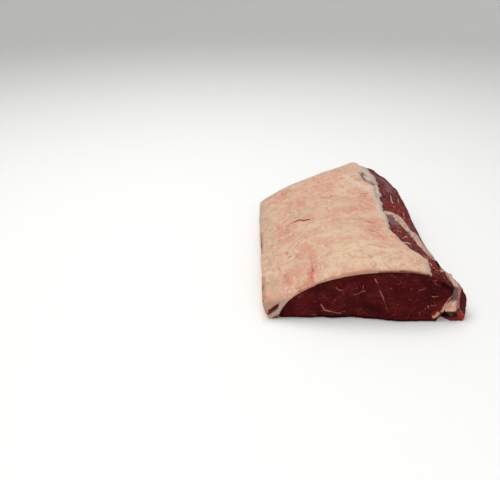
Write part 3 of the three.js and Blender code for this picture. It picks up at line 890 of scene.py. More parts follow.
    flank_marks: tuple[Mark, ...] = (
        Mark("fibre_and_highlight", View.ROUND, ((78.3, 63.4, 55.1), (76.4, 47.8, 54.7), (75.2, 34.0, 54.6)), 1.9, -0.3, 0.9),
        Mark("fibre_and_highlight", View.ROUND, ((91.9, 72.3, 48.4), (87.0, 46.2, 50.6)), 1.7, -0.3, 0.8),
        Mark("fibre_and_highlight", View.ROUND, ((75.5, 76.1, 56.7), (73.5, 62.1, 56.4)), 1.5, -0.2, 0.5),
        Mark("fibre_and_highlight", View.ROUND, ((83.7, 87.8, 54.0), (78.8, 67.3, 55.2)), 1.4, -0.2, 0.4),
        Mark("fibre_and_highlight", View.ROUND, ((86.4, 8.6, 49.3), (82.4, -15.6, 51.0)), 1.8, -0.3, 0.7),
        Mark("fibre_and_highlight", View.ROUND, ((62.4, -74.0, 58.1), (64.6, -76.0, 57.5)), 2.0, -0.3, 0.8),
        Mark("fibre_and_highlight", View.ROUND, ((59.3, -72.4, 58.8), (60.4, -76.8, 58.6)), 1.6, -0.3, 0.6),
        Mark("fibre_and_highlight", View.ROUND, ((65.2, -91.6, 57.5), (68.8, -87.7, 56.4)), 2.1, -0.4, 0.95),
        Mark("fibre_and_highlight", View.ROUND, ((60.5, -97, 58.5), (62.1, -96.5, 58.3)), 1.8, -0.3, 0.7),
        Mark("fibre_and_highlight", View.ROUND, ((63.9, -100.2, 57.9), (65.0, -101.1, 57.6)), 1.8, -0.3, 0.6),
        # On the shoulder these pale marks are partly painted highlights.
        Mark("fibre_and_highlight", View.ROUND, ((83.4, -150, 51.3), (83.8, -160.4, 51.6)), 2.0, -0.3, 0.8),
        Mark("fibre_and_highlight", View.ROUND, ((85.2, -164.5, 51), (89.6, -166.9, 48.9)), 2.2, -0.4, 0.85),
        Mark("fibre_and_highlight", View.ROUND, ((94.0, -162, 45.6), (97.5, -157.5, 43), (101, -152, 40.4)), 3.0, -0.9, 0.95),
        Mark("fibre_and_highlight", View.ROUND, ((84.8, -175.2, 51.3), (87.9, -178, 49.8)), 1.6, -0.2, 0.7),
        Mark("fibre_and_highlight", View.ROUND, ((80.2, -136, 52.4), (82.6, -146, 51.6)), 2.4, -0.4, 0.7),
        Mark("fibre_and_highlight", View.ROUND, ((99, -152, 42), (103.6, -158, 39)), 3.0, -0.5, 0.8),
        Mark("fibre_and_highlight", View.ROUND, ((93, -176, 46.2), (96.6, -180, 44)), 2.8, -0.4, 0.72),
        Mark("fibre_and_highlight", View.ROUND, ((83.4, -88, 50), (85.4, -106, 49.4), (87.6, -124, 48.4)), 6.5, 0.0, 0.72),
        Mark("fibre_and_highlight", View.ROUND, ((92, -181, 47.4), (95, -180, 44.8)), 1.6, -0.2, 0.6),
        Mark("dark_tone_and_shade", View.ROUND, ((80.6, -142, 52.6), (84.6, -150, 51.4)), 3.0, 0.5, 0.9),
        Mark("fibre_and_highlight", View.ROUND, ((85.9, -128.9, 49.3), (86.2, -137.5, 49.5)), 1.8, -0.3, 0.6),
        Mark("band", View.ROUND, ((57, -10, 58.4), (63.2, -10, 57.3), (68.8, -12, 56.1)), 11.0, -0.4, 0.95),
        Mark("band", View.ROUND, ((68.8, -12, 56.1), (71, -19, 55.1), (72.5, -30, 54.8), (74.4, -43, 54.2)), 11.5, -0.5, 1.0),
        Mark("band", View.ROUND, ((74.4, -43, 54.2), (79, -58, 51.9), (84, -68.4, 49.4)), 12.0, -0.6, 1.0),
        Mark("band", View.ROUND, ((84.6, -68.4, 48.4), (86.2, -82, 47), (87, -92, 46), (88, -104, 46)), 15.0, -0.6, 1.0),
        Mark("band", View.ROUND, ((88, -104, 46), (89.5, -113.5, 45.5), (91, -120, 44)), 11.5, -0.4, 1.0),
        Mark("red", View.ROUND, ((93.6, 88, 47.5), (94.6, 66, 45.7), (94.2, 36, 45.4), (92.4, 8, 44.4), (89, -20, 46.5)), 14.0, 0.0, 0.95),
        Mark("band", View.ROUND, ((90, -56, 45.8), (91.4, -78, 44.6), (92.4, -100, 43.5), (92.6, -120, 43.2)), 10.5, -0.3, 1.0),
        Mark("bump", View.ROUND, ((94, 108, 50), (96, 98, 48)), 6.0, -3.4, 0.0),
        Mark("bump", View.ROUND, ((58, 170, 59), (64, 163, 58.8), (71, 152, 57.8)), 13.0, 2.0, 0.0),
        Mark("fibre_and_highlight", View.ROUND, ((58.4, -113.4, 59.5), (62.3, -113.1, 58.7), (66.8, -113.1, 57.5)), 2.8, -1.4, 1.0),
        # Painted shade along the fat's edge on the flank.
        Mark("dark_tone_and_shade", View.ROUND, ((56.7, -120.7, 59.9), (62.7, -122.6, 58.7), (66.7, -127.3, 57.6), (70.4, -133.3, 56.3)), 3.0, 0.6, 0.9),
        Mark("dark_tone_and_shade", View.ROUND, ((57, -64, 59), (64.8, -68, 57.4), (69.1, -72, 56.1)), 2.4, 0.4, 0.6),
        Mark("red", View.ROUND, ((71, -50, 56), (70.9, -63.5, 55.5)), 3.6, 0.2, 1.0),
        # Grey skin and painted sheen over the far flank.
        Mark("grey_skin_and_sheen", View.ROUND, ((62, 160, 58), (74, 140, 57), (86, 116, 53), (80, 84, 55)), 15.0, 0.0, 0.75),
        Mark("dark_tone_and_shade", View.ROUND, ((58, 191, 58), (71, 184, 55), (80, 160, 53), (90, 122, 49)), 11.0, 0.0, 0.7),
        Mark("skin", View.ROUND, ((62.0, -16.5, 57.4), (64.9, -26.4, 57.1), (67.0, -36.3, 56.9)), 2.6, 0.5, 0.9),
        # Painted shade deep in the near corner, where the strap meets the flank.
        Mark("hollow_shade", View.ROUND, ((97, -192, 41), (101.3, -188, 39), (101.3, -179, 39.6)), 8.0, 0.6, 1.0),
        # Painted shade along the fat's edge.
        Mark("dark_tone_and_shade", View.ROUND, ((60.5, -140, 58.5), (64, -148, 58), (70, -156, 56)), 3.6, 0.4, 0.9),
    )
    flank_patches: tuple[Patch, ...] = (
        Patch("grey_skin_and_sheen", View.TOP, (60, -34), (11, 26), 8, 0.4, 1.0, 0.2),
        Patch("red", View.TOP, (63, -82), (12, 22), 25, -0.9, 0.8, 0.4),
        Patch("red", View.TOP, (74, -118), (9, 22), 18, -0.6, 0.55, 0.6),
        Patch("red", View.TOP, (90, -142), (9, 20), 0, -0.7, 1.0, 0.4),
        Patch("red", View.TOP, (74, 16), (22, 20), -30, -0.3, 1.0, 0.4),
        Patch("red", View.TOP, (80, -18), (6, 26), 8, -0.3, 1.0, 0.4),
        Patch("dark_tone_and_shade", View.TOP, (66, 28), (10, 26), 0, 0.2, 0.55, 0.4),
        Patch("dark_tone_and_shade", View.TOP, (66, -98), (5, 5), 0, 0.2, 0.5, 0.5),
    )

    def shape(self, carving: Carving) -> None:
        """Gives the muscle its fibre bundles, swells and marbling."""
        low = carving.points[:, 2] < 2
        covered = self.covered(carving)
        self.thin_out(carving, covered | (low & (carving.normals[:, 2] < -0.8)))
        ends = np.abs(carving.normals[:, 1]) > 0.7
        carving.refine(ends)
        carving.sharpen(self.flank_marks)
        carving.relax(2)
        carving.sink(FAR_SAG, 26.0, 3.4)
        across = np.clip(carving.facing(View.FRONT, 0.5, 0.8) + carving.facing(View.BACK, 0.5, 0.8), 0, 1)
        under = fade(carving.normals[:, 2], -0.3, -0.7)
        points = carving.points
        shoulder = fade(points[:, 1], -134, -160) * fade(points[:, 0], 70, 84)
        flank = (1 - across) * (1 - under)
        heights = 0.6 * ripple(points, (34.0, 60.0, 30.0), 1.3) * ~self.covered(carving)
        heights += across * (0.5 * ripple(points, (15.0, 15.0, 12.0), 4.4) + 0.13 * ripple(points, (2.6, 2.6, 2.6), 8.1))
        heights += flank * (0.55 * ripple(points, (7.0, 60.0, 7.0), 2.2) + 0.25 * ripple(points, (3.0, 26.0, 3.0), 6.3))
        carving.push(heights)
        carving.paint("flank", flank * (1 - shoulder))
        carving.paint("under", under)
        carving.paint("red", 0.85 * shoulder * flank)
        # Painted shade in the near corner of the shoulder.
        carving.paint("hollow_shade", 0.7 * shoulder * flank * fade(points[:, 1], -156, -176))
        spots = tuple(Mark("thread", View.FRONT, ((x, z), (x + 0.8, z + 0.3)), 1.1, 0, 0.75) for x, z in self.flecks)
        carving.draw(self.front_threads + self.back_threads + spots + self.flank_marks)
        carving.lay(self.flank_patches)

    def covered(self, carving: Carving) -> np.ndarray:
        """Finds the points that lie close under the fat cap.

        Args:
            carving: The muscle's mesh.

        Returns:
            True for each point that the fat covers.
        """
        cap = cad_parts["fat_cap"]
        reach = 3 * MM
        found = np.zeros(len(carving.points), dtype=bool)
        for number, (point, way) in enumerate(zip(carving.points * MM, carving.normals)):
            if way[2] > 0.2 or way[0] < -0.4:
                hit, spot, _, _ = cap.ray_cast(Vector(point), Vector(way), distance=reach)
                found[number] = hit
        return found


@dataclass
class FatCap(Cut):
    """The fat cover: its waxy top, the wrapped tail edge and the thin lip along the flank.

    Attributes:
        marks: Slits and blood vessels in the top.
        patches: Pinker and creamier parts, and the hollow with bare silverskin.
        scallop: How far the lip along the flank wanders in and out, in millimetres.
        trimmed: How far the knife took the lip back, as pairs of a place along Y and a depth.
    """

    marks: tuple[Mark, ...] = (
        Mark("slit", View.TOP, ((-72.5, -11.0), (-68, -10.5), (-65.5, -11), (-61.5, -15)), 3.2, 0.8, 1.0),
        Mark("slit", View.TOP, ((-61, -19.5), (-58.5, -22), (-56.5, -20), (-52.5, -23.5)), 3.4, 0.8, 1.0),
        Mark("vein", View.TOP, ((-76, -12), (-67.5, -14), (-59.5, -22), (-48, -25)), 6.5, 0.2, 0.7),
        Mark("vein", View.TOP, ((-74, 8.5), (-69, 0), (-61, -9.5), (-52, -17.5)), 3.5, 0.2, 0.55),
        Mark("vein", View.TOP, ((-51.5, -29), (-47.5, -31), (-43.5, -29)), 4.5, 0.2, 0.6),
        Mark("vein", View.TOP, ((-85, 121), (-82, 126), (-77, 117.5), (-77, 105.5), (-82, 107.5), (-85, 117)), 2.2, 0.3, 0.6),
        Mark("vein", View.TOP, ((-82.5, 115.5), (-79.5, 110.5)), 2.4, 0.3, 0.8),
        Mark("vein", View.TOP, ((-71.5, 60.5), (-67.5, 67.5), (-60.5, 58), (-57, 45.5), (-60, 38.5), (-66, 44.5)), 2.4, 0.3, 0.55),
        Mark("vein", View.TOP, ((-49, 90.5), (-44, 78), (-37, 73), (-32.5, 79.5), (-31, 91), (-34, 97)), 2.4, 0.3, 0.6),
        Mark("vein", View.TOP, ((-29, 112.5), (-25.5, 107.5)), 2.8, 0.3, 0.7),
        Mark("vein", View.TOP, ((-95, 97.5), (-91, 84)), 2.2, 0.4, 0.7),
        Mark("vein", View.TOP, ((-26, 48.5), (-22, 42), (-16.5, 42), (-12, 49)), 2.3, 0.8, 0.9),
        Mark("vein", View.TOP, ((-19.5, 128), (-8, 117.5), (4.5, 115), (16.5, 114)), 2.4, 0.3, 0.6),
        Mark("vein", View.TOP, ((20, 108.5), (27, 114.5)), 2.2, 0.3, 0.75),
        Mark("vein", View.TOP, ((30, 46), (34, 43), (40, 46)), 4.5, 0.3, 0.9),
        Mark("slit", View.TOP, ((31, 39), (34, 35.5)), 2.0, 0.6, 0.45),
        Mark("vein", View.TOP, ((40, 35.5), (46.5, 32)), 3.0, 0.2, 0.5),
        Mark("slit", View.TOP, ((-4, -49.3), (2.5, -51), (9.8, -55.7), (15.9, -58.9)), 2.2, 0.3, 0.56),
        Mark("slit", View.TOP, ((21.5, -65.6), (29, -68.2)), 2.2, 0.3, 0.62),
        Mark("slit", View.TOP, ((17, -91.2), (21.3, -96.8), (25.6, -101.2), (31.3, -104.9)), 2.2, 0.3, 0.6),
        Mark("slit", View.TOP, ((-31.3, 52.6), (-24.9, 43.4), (-17.7, 42.4), (-12.6, 48.4)), 2.4, 0.5, 0.6),
        Mark("slit", View.TOP, ((28.5, 37.2), (34.4, 37.2)), 2.4, 0.4, 0.6),
        Mark("tan", View.TOP, ((-28.5, -3), (-19.5, -10), (-11.5, -15)), 2.2, 0.3, 0.6),
        Mark("vein", View.TOP, ((-21, -21.5), (-11, -30.5)), 2.4, 0.3, 0.6),
        Mark("vein", View.TOP, ((-9.5, -18.5), (-2.5, -27), (6, -25), (15.5, -17.5), (27.5, -12.5)), 2.2, 0.3, 0.5),
        Mark("vein", View.TOP, ((-3, -51.5), (6, -55.5), (13.5, -57.5)), 1.9, 0.4, 0.75),
        Mark("vein", View.TOP, ((16.5, -61), (21.5, -67.5), (31, -68.5)), 2.6, 0.3, 0.95),
        Mark("vein", View.TOP, ((21.5, -85), (27, -83)), 2.4, 0.3, 0.75),
        Mark("vein", View.TOP, ((11, -90.5), (16.5, -94.5), (22.5, -100)), 2.0, 0.4, 0.9),
        Mark("vein", View.TOP, ((24.5, -101), (29, -104), (31, -112.5), (32, -122)), 2.4, 0.4, 0.7),
        Mark("pink", View.TOP, ((18.5, -107), (26, -113), (31, -119)), 9.0, 0.0, 0.8),
        Mark("tan", View.TOP, ((-92.5, -22), (-79.5, -38.5)), 1.9, 0.3, 0.55),
        Mark("tan", View.TOP, ((-67, -57), (-63, -57), (-56, -64), (-48, -69.5)), 1.9, 0.4, 0.8),
        Mark("tan", View.TOP, ((-49, -62.5), (-47.5, -65.5)), 3.0, 0.3, 0.6),
        Mark("vein", View.TOP, ((-95, -2.5), (-93.5, -11.5)), 3.2, 0.3, 0.6),
        Mark("vein", View.TOP, ((-82, -12), (-83.5, -24)), 3.2, 0.3, 0.6),
        Mark("vein", View.TOP, ((-101.5, -48.5), (-95, -51), (-88, -50.5), (-80.5, -54.5)), 2.8, 0.3, 0.55),
        Mark("vein", View.TOP, ((-105.5, -55.5), (-103.5, -62)), 2.6, 0.3, 0.7),
        Mark("vein", View.TOP, ((-87, -96.5), (-87, -103)), 2.6, 0.5, 0.95),
        Mark("vein", View.TOP, ((-95, -95.5), (-89.5, -101)), 2.4, 0.3, 0.5),
        Mark("tan", View.TOP, ((-101, -93.5), (-97.5, -95.5)), 2.2, 0.4, 0.9),
        Mark("slit", View.TOP, ((-86, -112.5), (-82.5, -113.5)), 2.4, 0.5, 0.75),
        Mark("tan", View.TOP, ((-76, -113), (-74.5, -123)), 2.4, 0.4, 0.9),
        Mark("tan", View.TOP, ((-114, -88.5), (-111, -91)), 1.8, 0.3, 0.6),
        Mark("vein", View.TOP, ((-59, -131), (-61, -146), (-59, -158), (-60.5, -167.5)), 4.5, 0.3, 0.5),
        Mark("vein", View.TOP, ((-60.5, -165), (-61.5, -176), (-63.5, -184), (-62.5, -193)), 4.4, 0.5, 0.85),
        Mark("vein", View.TOP, ((-65, -174), (-64.5, -185), (-67, -192.5)), 5.0, 0.2, 0.8),
        Mark("vein", View.ROUND, ((-69, -191, 44), (-77, -193.4, 39)), 5.0, 0.0, 0.85),
        Mark("slit", View.TOP, ((-60.5, -169), (-60, -174.5)), 2.8, 0.5, 0.6),
        Mark("slit", View.TOP, ((-62.4, -180), (-63, -187)), 3.0, 0.4, 0.45),
        Mark("tan", View.TOP, ((-54, -155), (-51, -161.5), (-51, -172), (-52.5, -179)), 1.6, 0.3, 0.6),
        Mark("vein", View.TOP, ((-98, -130), (-97.5, -138.5)), 2.6, 0.4, 0.65),
        Mark("vein", View.TOP, ((-92.5, -154), (-88.5, -165), (-90.5, -172), (-88.5, -179)), 4.8, 0.4, 0.6),
        Mark("vein", View.TOP, ((-7, -163.5), (0.5, -166.5)), 1.7, 0.3, 0.75),
        Mark("vein", View.TOP, ((7, -162.5), (9, -169.5)), 2.2, 0.3, 0.7),
        Mark("tan", View.TOP, ((10.5, -159), (17, -163), (25, -158)), 1.7, 0.4, 0.6),
        Mark("tan", View.TOP, ((24, -167.5), (27.5, -171.5), (30, -173)), 1.7, 0.4, 0.8),
        Mark("tan", View.TOP, ((28, -176.5), (32.5, -174.5), (36, -174.5)), 1.7, 0.4, 0.9),
        Mark("tan", View.TOP, ((20.5, -182.5), (23, -188), (27, -191.5)), 1.7, 0.4, 0.8),
        Mark("tan", View.TOP, ((39.5, -170), (41, -176.5), (44.5, -172.5)), 1.6, 0.3, 0.6),
        Mark("tan", View.TOP, ((-49, -145), (-45.5, -143.5), (-40, -148.5), (-40, -159), (-46, -157.5)), 2.0, 0.3, 0.4),
        Mark("tan", View.TOP, ((-22, -116.5), (-15.5, -123.5)), 1.8, 0.3, 0.5),
        Mark("tan", View.TOP, ((-2.5, -84), (6, -81.5), (10.5, -84)), 1.8, 0.3, 0.5),
        Mark("tan", View.TOP, ((-10, -64.5), (0, -68.5)), 1.8, 0.3, 0.45),
        Mark("tan", View.TOP, ((-40, -48), (-29.5, -51.5)), 1.8, 0.3, 0.45),
        Mark("tan", View.TOP, ((35.5, -115.5), (39, -123), (43.5, -127)), 1.8, 0.4, 0.7),
        Mark("tan", View.TOP, ((34.5, -135), (39, -142)), 1.8, 0.4, 0.6),
        Mark("pink", View.TOP, ((-58, -120), (-60, -150), (-61, -194)), 12.0, 0.0, 0.9),
        Mark("skin", View.TOP, ((43, 133), (46, 120), (47.5, 106), (50, 94), (54, 84)), 10.5, 1.8),
        Mark("skin", View.TOP, ((53.4, 84), (54, 70), (53, 58), (52, 44), (50, 30)), 4.2, 0.6, 0.7),
        Mark("skin", View.TOP, ((29, 108), (38.0, 98.8)), 4.5, 0.6, 0.7),
        Mark("shade", View.TOP, ((46, 133), (42.4, 124), (43.0, 112), (45.2, 97)), 4.2, 0.5, 0.8),
        Mark("shade", View.TOP, ((45.2, 97), (51.3, 92), (56, 83)), 4.6, 0.5, 0.7),
        Mark("shade", View.TOP, ((45, 130), (51, 116)), 2.6, 0.2, 0.7),
        # Painted highlight in the silverskin dip.
        Mark("painted_highlight", View.TOP, ((47.4, 120), (49.6, 113), (51, 104)), 3.8, -0.3, 0.8),
        Mark("pale", View.TOP, ((18, 120), (24.4, 101), (29.6, 76), (40, 66), (48, 57)), 14.0, 0.0, 1.0),
        Mark("pale", View.TOP, ((36, 128), (44, 140), (54, 132)), 7.0, 0.0, 0.8),
        Mark("wall", View.TOP, ((48, 150), (55, 138), (57.4, 118), (57.5, 82.8), (54.4, 45.0), (48.8, 0)), 13.0, 0.0, 1.0),
        Mark("wall", View.TOP, ((49.3, 0), (46, -60), (44, -96)), 5.0, 0.0, 0.8),
        Mark("grey", View.TOP, ((52, 156), (57, 140), (59, 120), (58.5, 92)), 9.0, 0.0, 0.65),
        Mark("pale", View.TOP, ((54, 60), (50, 20), (46, -10), (44, -50)), 9.0, 0.0, 0.8),
        Mark("pale", View.TOP, ((14, -144), (22, -150), (32, -152), (44, -150), (56, -156)), 9.0, 0.0, 0.8),
        Mark("cream", View.TOP, ((8, 96), (12.5, 84), (16.8, 70)), 10.0, -0.4, 1.0),
        Mark("grey", View.ROUND, ((71.5, -178, 64.7), (72.4, -187.2, 62.8), (73, -193.9, 59.9), (73.4, -194.4, 57.5)), 8.0, 0.0, 0.6),
        # Lip along the near face: the cut fat's browner edge, and painted shade under the rolled edge.
        Mark("lip", View.ROUND, ((-81, -195.6, 31.3), (-70.8, -195.2, 38.4), (-59.4, -194.5, 44.6), (-48, -194, 49.6)), 4.4, 0.0, 0.9),
        Mark("brown_and_shade", View.ROUND, ((-79, -195.4, 35.6), (-73.5, -195.3, 39.2)), 1.8, 0.0, 0.6),
        Mark("lip", View.ROUND, ((-48, -193.6, 51.4), (-38, -193.7, 53.9), (-28, -193.4, 56)), 4.6, 0.0, 0.85),
        Mark("lip", View.ROUND, ((-27, -193.6, 57), (-15.1, -193.4, 59.4), (-6, -193.5, 60.6), (5, -193.7, 61.4)), 7.4, 0.0, 0.95),
        Mark("lip", View.ROUND, ((8, -194, 61.2), (23.4, -194.2, 61.8), (41.7, -194.2, 61.9), (60, -194, 59.6)), 4.6, 0.0, 1.0),
        # Painted shade under the rolled near edge of the fat.
        Mark("brown_and_shade", View.ROUND, ((14, -194.2, 60.4), (26, -194.2, 61.0), (38, -194.3, 60.8)), 4.0, 0.0, 0.75),
        Mark("brown_and_shade", View.ROUND, ((38, -194.3, 60.8), (51.2, -194.1, 59.4), (58.8, -193, 58.2), (66, -193, 56.6), (71, -194, 55.6)), 6.0, 0.0, 0.9),
        Mark("grey", View.ROUND, ((-117.6, 110, 24.0), (-118.4, 70, 24.6), (-118.6, 16, 24.6)), 9.0, 0.0, 0.6),
        # Lip and brown along the rounded tail edge: painted shade.
        Mark("lip", View.ROUND, ((-118.4, -8, 24.6), (-118.8, -40, 24.2), (-119, -72, 24)), 6.0, 0.5, 1.0),
        Mark("brown_and_shade", View.ROUND, ((-118.6, -24, 23.6), (-119, -52, 23.4)), 4.0, 0.3, 0.7),
        Mark("lip", View.ROUND, ((-118.4, -140, 24.8), (-118, -173, 25), (-117.5, -190, 24)), 8.0, 0.0, 0.8),
        Mark("brown_and_shade", View.ROUND, ((-119, -158, 23.4), (-118.8, -176, 23.4), (-117.6, -193, 20.4)), 4.4, 0.0, 0.75),
        Mark("wall", View.TOP, ((58, -134), (63, -146), (70, -160)), 5.0, 0.0, 0.6),
        Mark("grey", View.ROUND, ((-112.2, 108, 27.7), (-102.4, 119.6, 30), (-89.1, 131.4, 35), (-76, 138, 41.1), (-60, 134, 49)), 8.0, 0.0, 0.55),
        Mark("grey", View.ROUND, ((-60, 134, 49), (-44.4, 135, 55), (-27.8, 140, 59.5), (-10.8, 148.6, 63.1)), 7.0, 0.0, 0.4),
        Mark("pink", View.TOP, ((44, -112), (48, -118), (54, -126)), 5.0, -0.4, 0.9),
        Mark("seam", View.FRONT, ((-86, 28), (-91.5, 26.4), (-94.3, 24.8)), 2.6, -0.2, 0.9),
        Mark("seam", View.FRONT, ((-94.5, 24.8), (-97.2, 18.5), (-100, 13.5), (-102, 11)), 5.4, -0.3, 1.0),
        Mark("seam", View.FRONT, ((-102, 11), (-106.5, 6.6), (-110, 3.0)), 4.0, -0.3, 1.0),
        Mark("slit", View.FRONT, ((-113.4, 10.8), (-108.7, 14.2), (-104.1, 17.8), (-101.5, 19.7)), 2.0, 0.4, 0.9),
        Mark("slit", View.FRONT, ((-101.5, 19.7), (-97.5, 22.8)), 1.3, 0.3, 0.7),
        # Painted shade at the foot of the tail corner.
        Mark("brown_and_shade", View.FRONT, ((-117, 11), (-115, 4), (-111, 0)), 2.0, 0.0, 0.8),
        Mark("brown_and_shade", View.FRONT, ((-107, 1.2), (-102.5, 3), (-98, 5.6)), 4.0, 0.0, 1.0),
    )
    patches: tuple[Patch, ...] = (
        Patch("pink", View.TOP, (-86, -20), (15, 26), 0, 0.4, 1.0),
        Patch("pink", View.TOP, (-84, -58), (18, 18), 0, 0.2, 0.8),
        Patch("pink", View.TOP, (-64, -112), (10, 34), 0, 0.2, 0.8),
        Patch("pink", View.TOP, (-84, -166), (16, 26), 0, 0.3, 0.9),
        Patch("pink", View.TOP, (-82, 110), (18, 20), 0, 0.3, 0.9),
        Patch("pink", View.TOP, (-64, 52), (20, 24), 0, 0.2, 0.8),
        Patch("pink", View.TOP, (-20, 84), (30, 20), 0, 0.3, 0.7),
        Patch("pink", View.TOP, (14, -22), (30, 14), 0, 0.0, 0.9),
        Patch("pink", View.TOP, (24, -76), (20, 26), 0, 0.3, 0.9),
        Patch("pink", View.TOP, (34, 14), (20, 26), 0, 0.0, 0.9),
        Patch("pink", View.TOP, (24, 58), (22, 18), 0, 0.0, 0.6),
        Patch("pink", View.TOP, (-14, 126), (30, 10), 0, 0.0, 0.6),
        Patch("pink", View.TOP, (28, -140), (20, 12), 0, 0.0, 0.5),
        Patch("cream", View.TOP, (-10, -146), (38, 26), 0, 0.0, 1.0),
        Patch("cream", View.TOP, (20, -178), (34, 16), 0, 0.0, 0.9),
        Patch("cream", View.TOP, (-22, -92), (36, 20), 0, 0.0, 0.7),
        Patch("cream", View.TOP, (-36, -170), (16, 24), 0, 0.0, 0.8),
        Patch("beige", View.TOP, (-58, 10), (26, 16), 0, 0.0, 0.9),
        Patch("beige", View.TOP, (-98, 60), (16, 30), 0, 0.0, 0.6),
        Patch("beige", View.TOP, (16, 146), (40, 16), 0, 0.0, 0.8),
        Patch("beige", View.TOP, (-111, 0), (12, 140), 0, 0.0, 0.9),
        Patch("beige", View.TOP, (-106, -160), (9, 24), 0, 0.0, 0.9),
        Patch("beige", View.TOP, (-2, -62), (26, 12), 0, 0.0, 0.6),
        Patch("beige", View.TOP, (-6, 26), (30, 14), 0, 0.0, 0.7),
    )
    scallop: float = 2.0
    trimmed: Path = (
        (-190, 0), (-172, 0), (-160, 2.0), (-150, 5.5), (-138, 6.5), (-125, 5.5), (-112, 4.0), (-98, 4.5),
        (-86, 4.0), (-74, 1.5), (-62, 0), (120, 0), (136, 2.0), (150, 0),
    )

    def shape(self, carving: Carving) -> None:
        """Gives the fat its swells, its ragged lip, its marks and its painted zones."""
        hidden = carving.normals[:, 2] < -0.25
        self.thin_out(carving, hidden & (carving.points[:, 0] > -112) & self.behind_front(carving))
        carving.sharpen(self.marks)
        carving.relax(2)
        carving.sink(FAR_SAG, 26.0, 1.6)
        front, rise = self.place_in_front(carving)
        self.roll_over(carving, front, rise)
        points = carving.points
        top = carving.facing(View.TOP, 0.0, 0.4)
        heights = 0.7 * ripple(points, (60.0, 42.0, 40.0), 0.4) + 0.4 * top * ripple(points, (30.0, 13.0, 20.0), 5.2, 3)
        carving.push(heights * (0.3 + 0.7 * fade(front, 0, 12)))
        self.ruffle_lip(carving)
        points = carving.points
        chine = carving.facing(View.CHINE, 0.45, 0.8) * fade(points[:, 0], 30, 45)
        carving.paint("wall", chine + carving.facing(View.BACK, 0.5, 0.8))
        facing = carving.facing(View.FRONT, 0.35, 0.75)
        inner = fade(points[:, 0], -92, -80)
        # The near face browns towards the lean below: partly the cut fat's own colour, partly painted shade under the
        # rolled edge.
        carving.paint("lip", inner * fade(front, 6, 1) * fade(rise, 0.75, 0.1) * 0.9 + 0.25 * facing * inner)
        carving.paint("cut", facing * (1 - inner) * fade(points[:, 2], 31, 18))
        # A brown streak down the tail side: lean showing through the fat, and painted shade on that side.
        sway = ripple(points * (0.0, 1.0, 0.0), (1.0, 44.0, 1.0), 6.1, 4)
        streak = fade(np.abs(points[:, 2] - 14 - 2.5 * sway), 7.5 + 3 * sway, 1.5)
        carving.paint("brown_and_shade", carving.facing(View.TAIL, 0.3, 0.7) * streak * (0.72 + 0.5 * sway))
        carving.draw(self.marks)
        carving.lay(self.patches)

    def place_in_front(self, carving: Carving) -> tuple[np.ndarray, np.ndarray]:
        """Measures each point against the near cut face.

        Args:
            carving: The cap's mesh.

        Returns:
            How far each point lies behind the cut face in millimetres, and how high it lies in the
            cap's thickness there, nought at the lean to one at the top.
        """
        points = carving.points
        columns = np.round((points[:, 0] - points[:, 0].min()) / 5).astype(int)
        face = np.full(columns.max() + 1, np.inf)
        np.minimum.at(face, columns, points[:, 1])
        behind = points[:, 1] - face[columns]
        near = behind < 5
        low = np.full(len(face), np.inf)
        high = np.full(len(face), -np.inf)
        np.minimum.at(low, columns[near], points[near, 2])
        np.maximum.at(high, columns[near], points[near, 2])
        spread = np.interp(points[:, 0], points[:, 0].min() + 5 * np.arange(len(face)), low)
        top = np.interp(points[:, 0], points[:, 0].min() + 5 * np.arange(len(face)), high)
        return behind, np.clip((points[:, 2] - spread) / np.maximum(top - spread, 1), 0, 1)

    def roll_over(self, carving: Carving, front: np.ndarray, rise: np.ndarray) -> None:
        """Rolls the top over towards the near cut face, where the knife thinned it."""
        points = carving.points
        across = points[:, 0]
        drop = 4.0 + fade(across, -100, -84) * (2.2 - 1.4 * fade(across, -40, 0) - 2.0 * fade(across, 56, 72))
        carving.points[:, 2] -= drop * rise * fade(front, 17, 0) ** 1.5
        carving.find_normals()

    def behind_front(self, carving: Carving) -> np.ndarray:
        """True for each point that lies well inside the two cut faces."""
        return (carving.points[:, 1] > -190) & (carving.points[:, 1] < 120)

    def ruffle_lip(self, carving: Carving) -> None:
        """Trims the lip along the flank back, and makes it wander and fray."""
        points = carving.points
        rows = np.round((points[:, 1] + 210) / 6).astype(int)
        edge = np.full(rows.max() + 1, -np.inf)
        np.maximum.at(edge, rows, points[:, 0])
        places = -210 + 6 * np.arange(len(edge))
        edges = np.interp(points[:, 1], places, edge)
        along = np.zeros_like(points)
        along[:, 1] = points[:, 1]
        wander = ripple(along, (1.0, 17.0, 1.0), 2.9, 3)
        taken = np.interp(points[:, 1], *np.array(self.trimmed).T)
        frayed = ripple(along, (1.0, 5.0, 1.0), 8.3)
        carving.points[:, 0] += self.scallop * fade(edges - points[:, 0], 14, 1) * wander
        carving.points[:, 0] += 0.5 * self.scallop * fade(edges - points[:, 0], 5, 0) * frayed
        carving.points[:, 0] -= taken * fade(edges - points[:, 0], 26, 0)
        carving.find_normals()


# The far corner of the flank, which sags a little where the lip of fat ends.
FAR_SAG: Path = ((52, 200, 58), (58, 192, 58), (65, 187, 57), (73, 178, 55))

# The slumped edge where the side strap and the seam fat meet, at the top of the near corner.
SLUMP: Path = ((106, -146, 37), (109.5, -161, 37.4), (111.5, -171, 37), (114, -181, 36.4))

# Where the same edge swells up again behind the slump.
SHOULDER: Path = ((99, -134, 39), (104, -146, 38))


@dataclass
class TailStrip(Cut):
    """The thin strip of lean that runs through the fat of the tail."""

    def shape(self, carving: Carving) -> None:
        """Rounds the strip and gives its ends a grain."""
        carving.relax(2)
        carving.push(0.15 * ripple(carving.points, (3.0, 8.0, 3.0), 3.3) + 0.1)


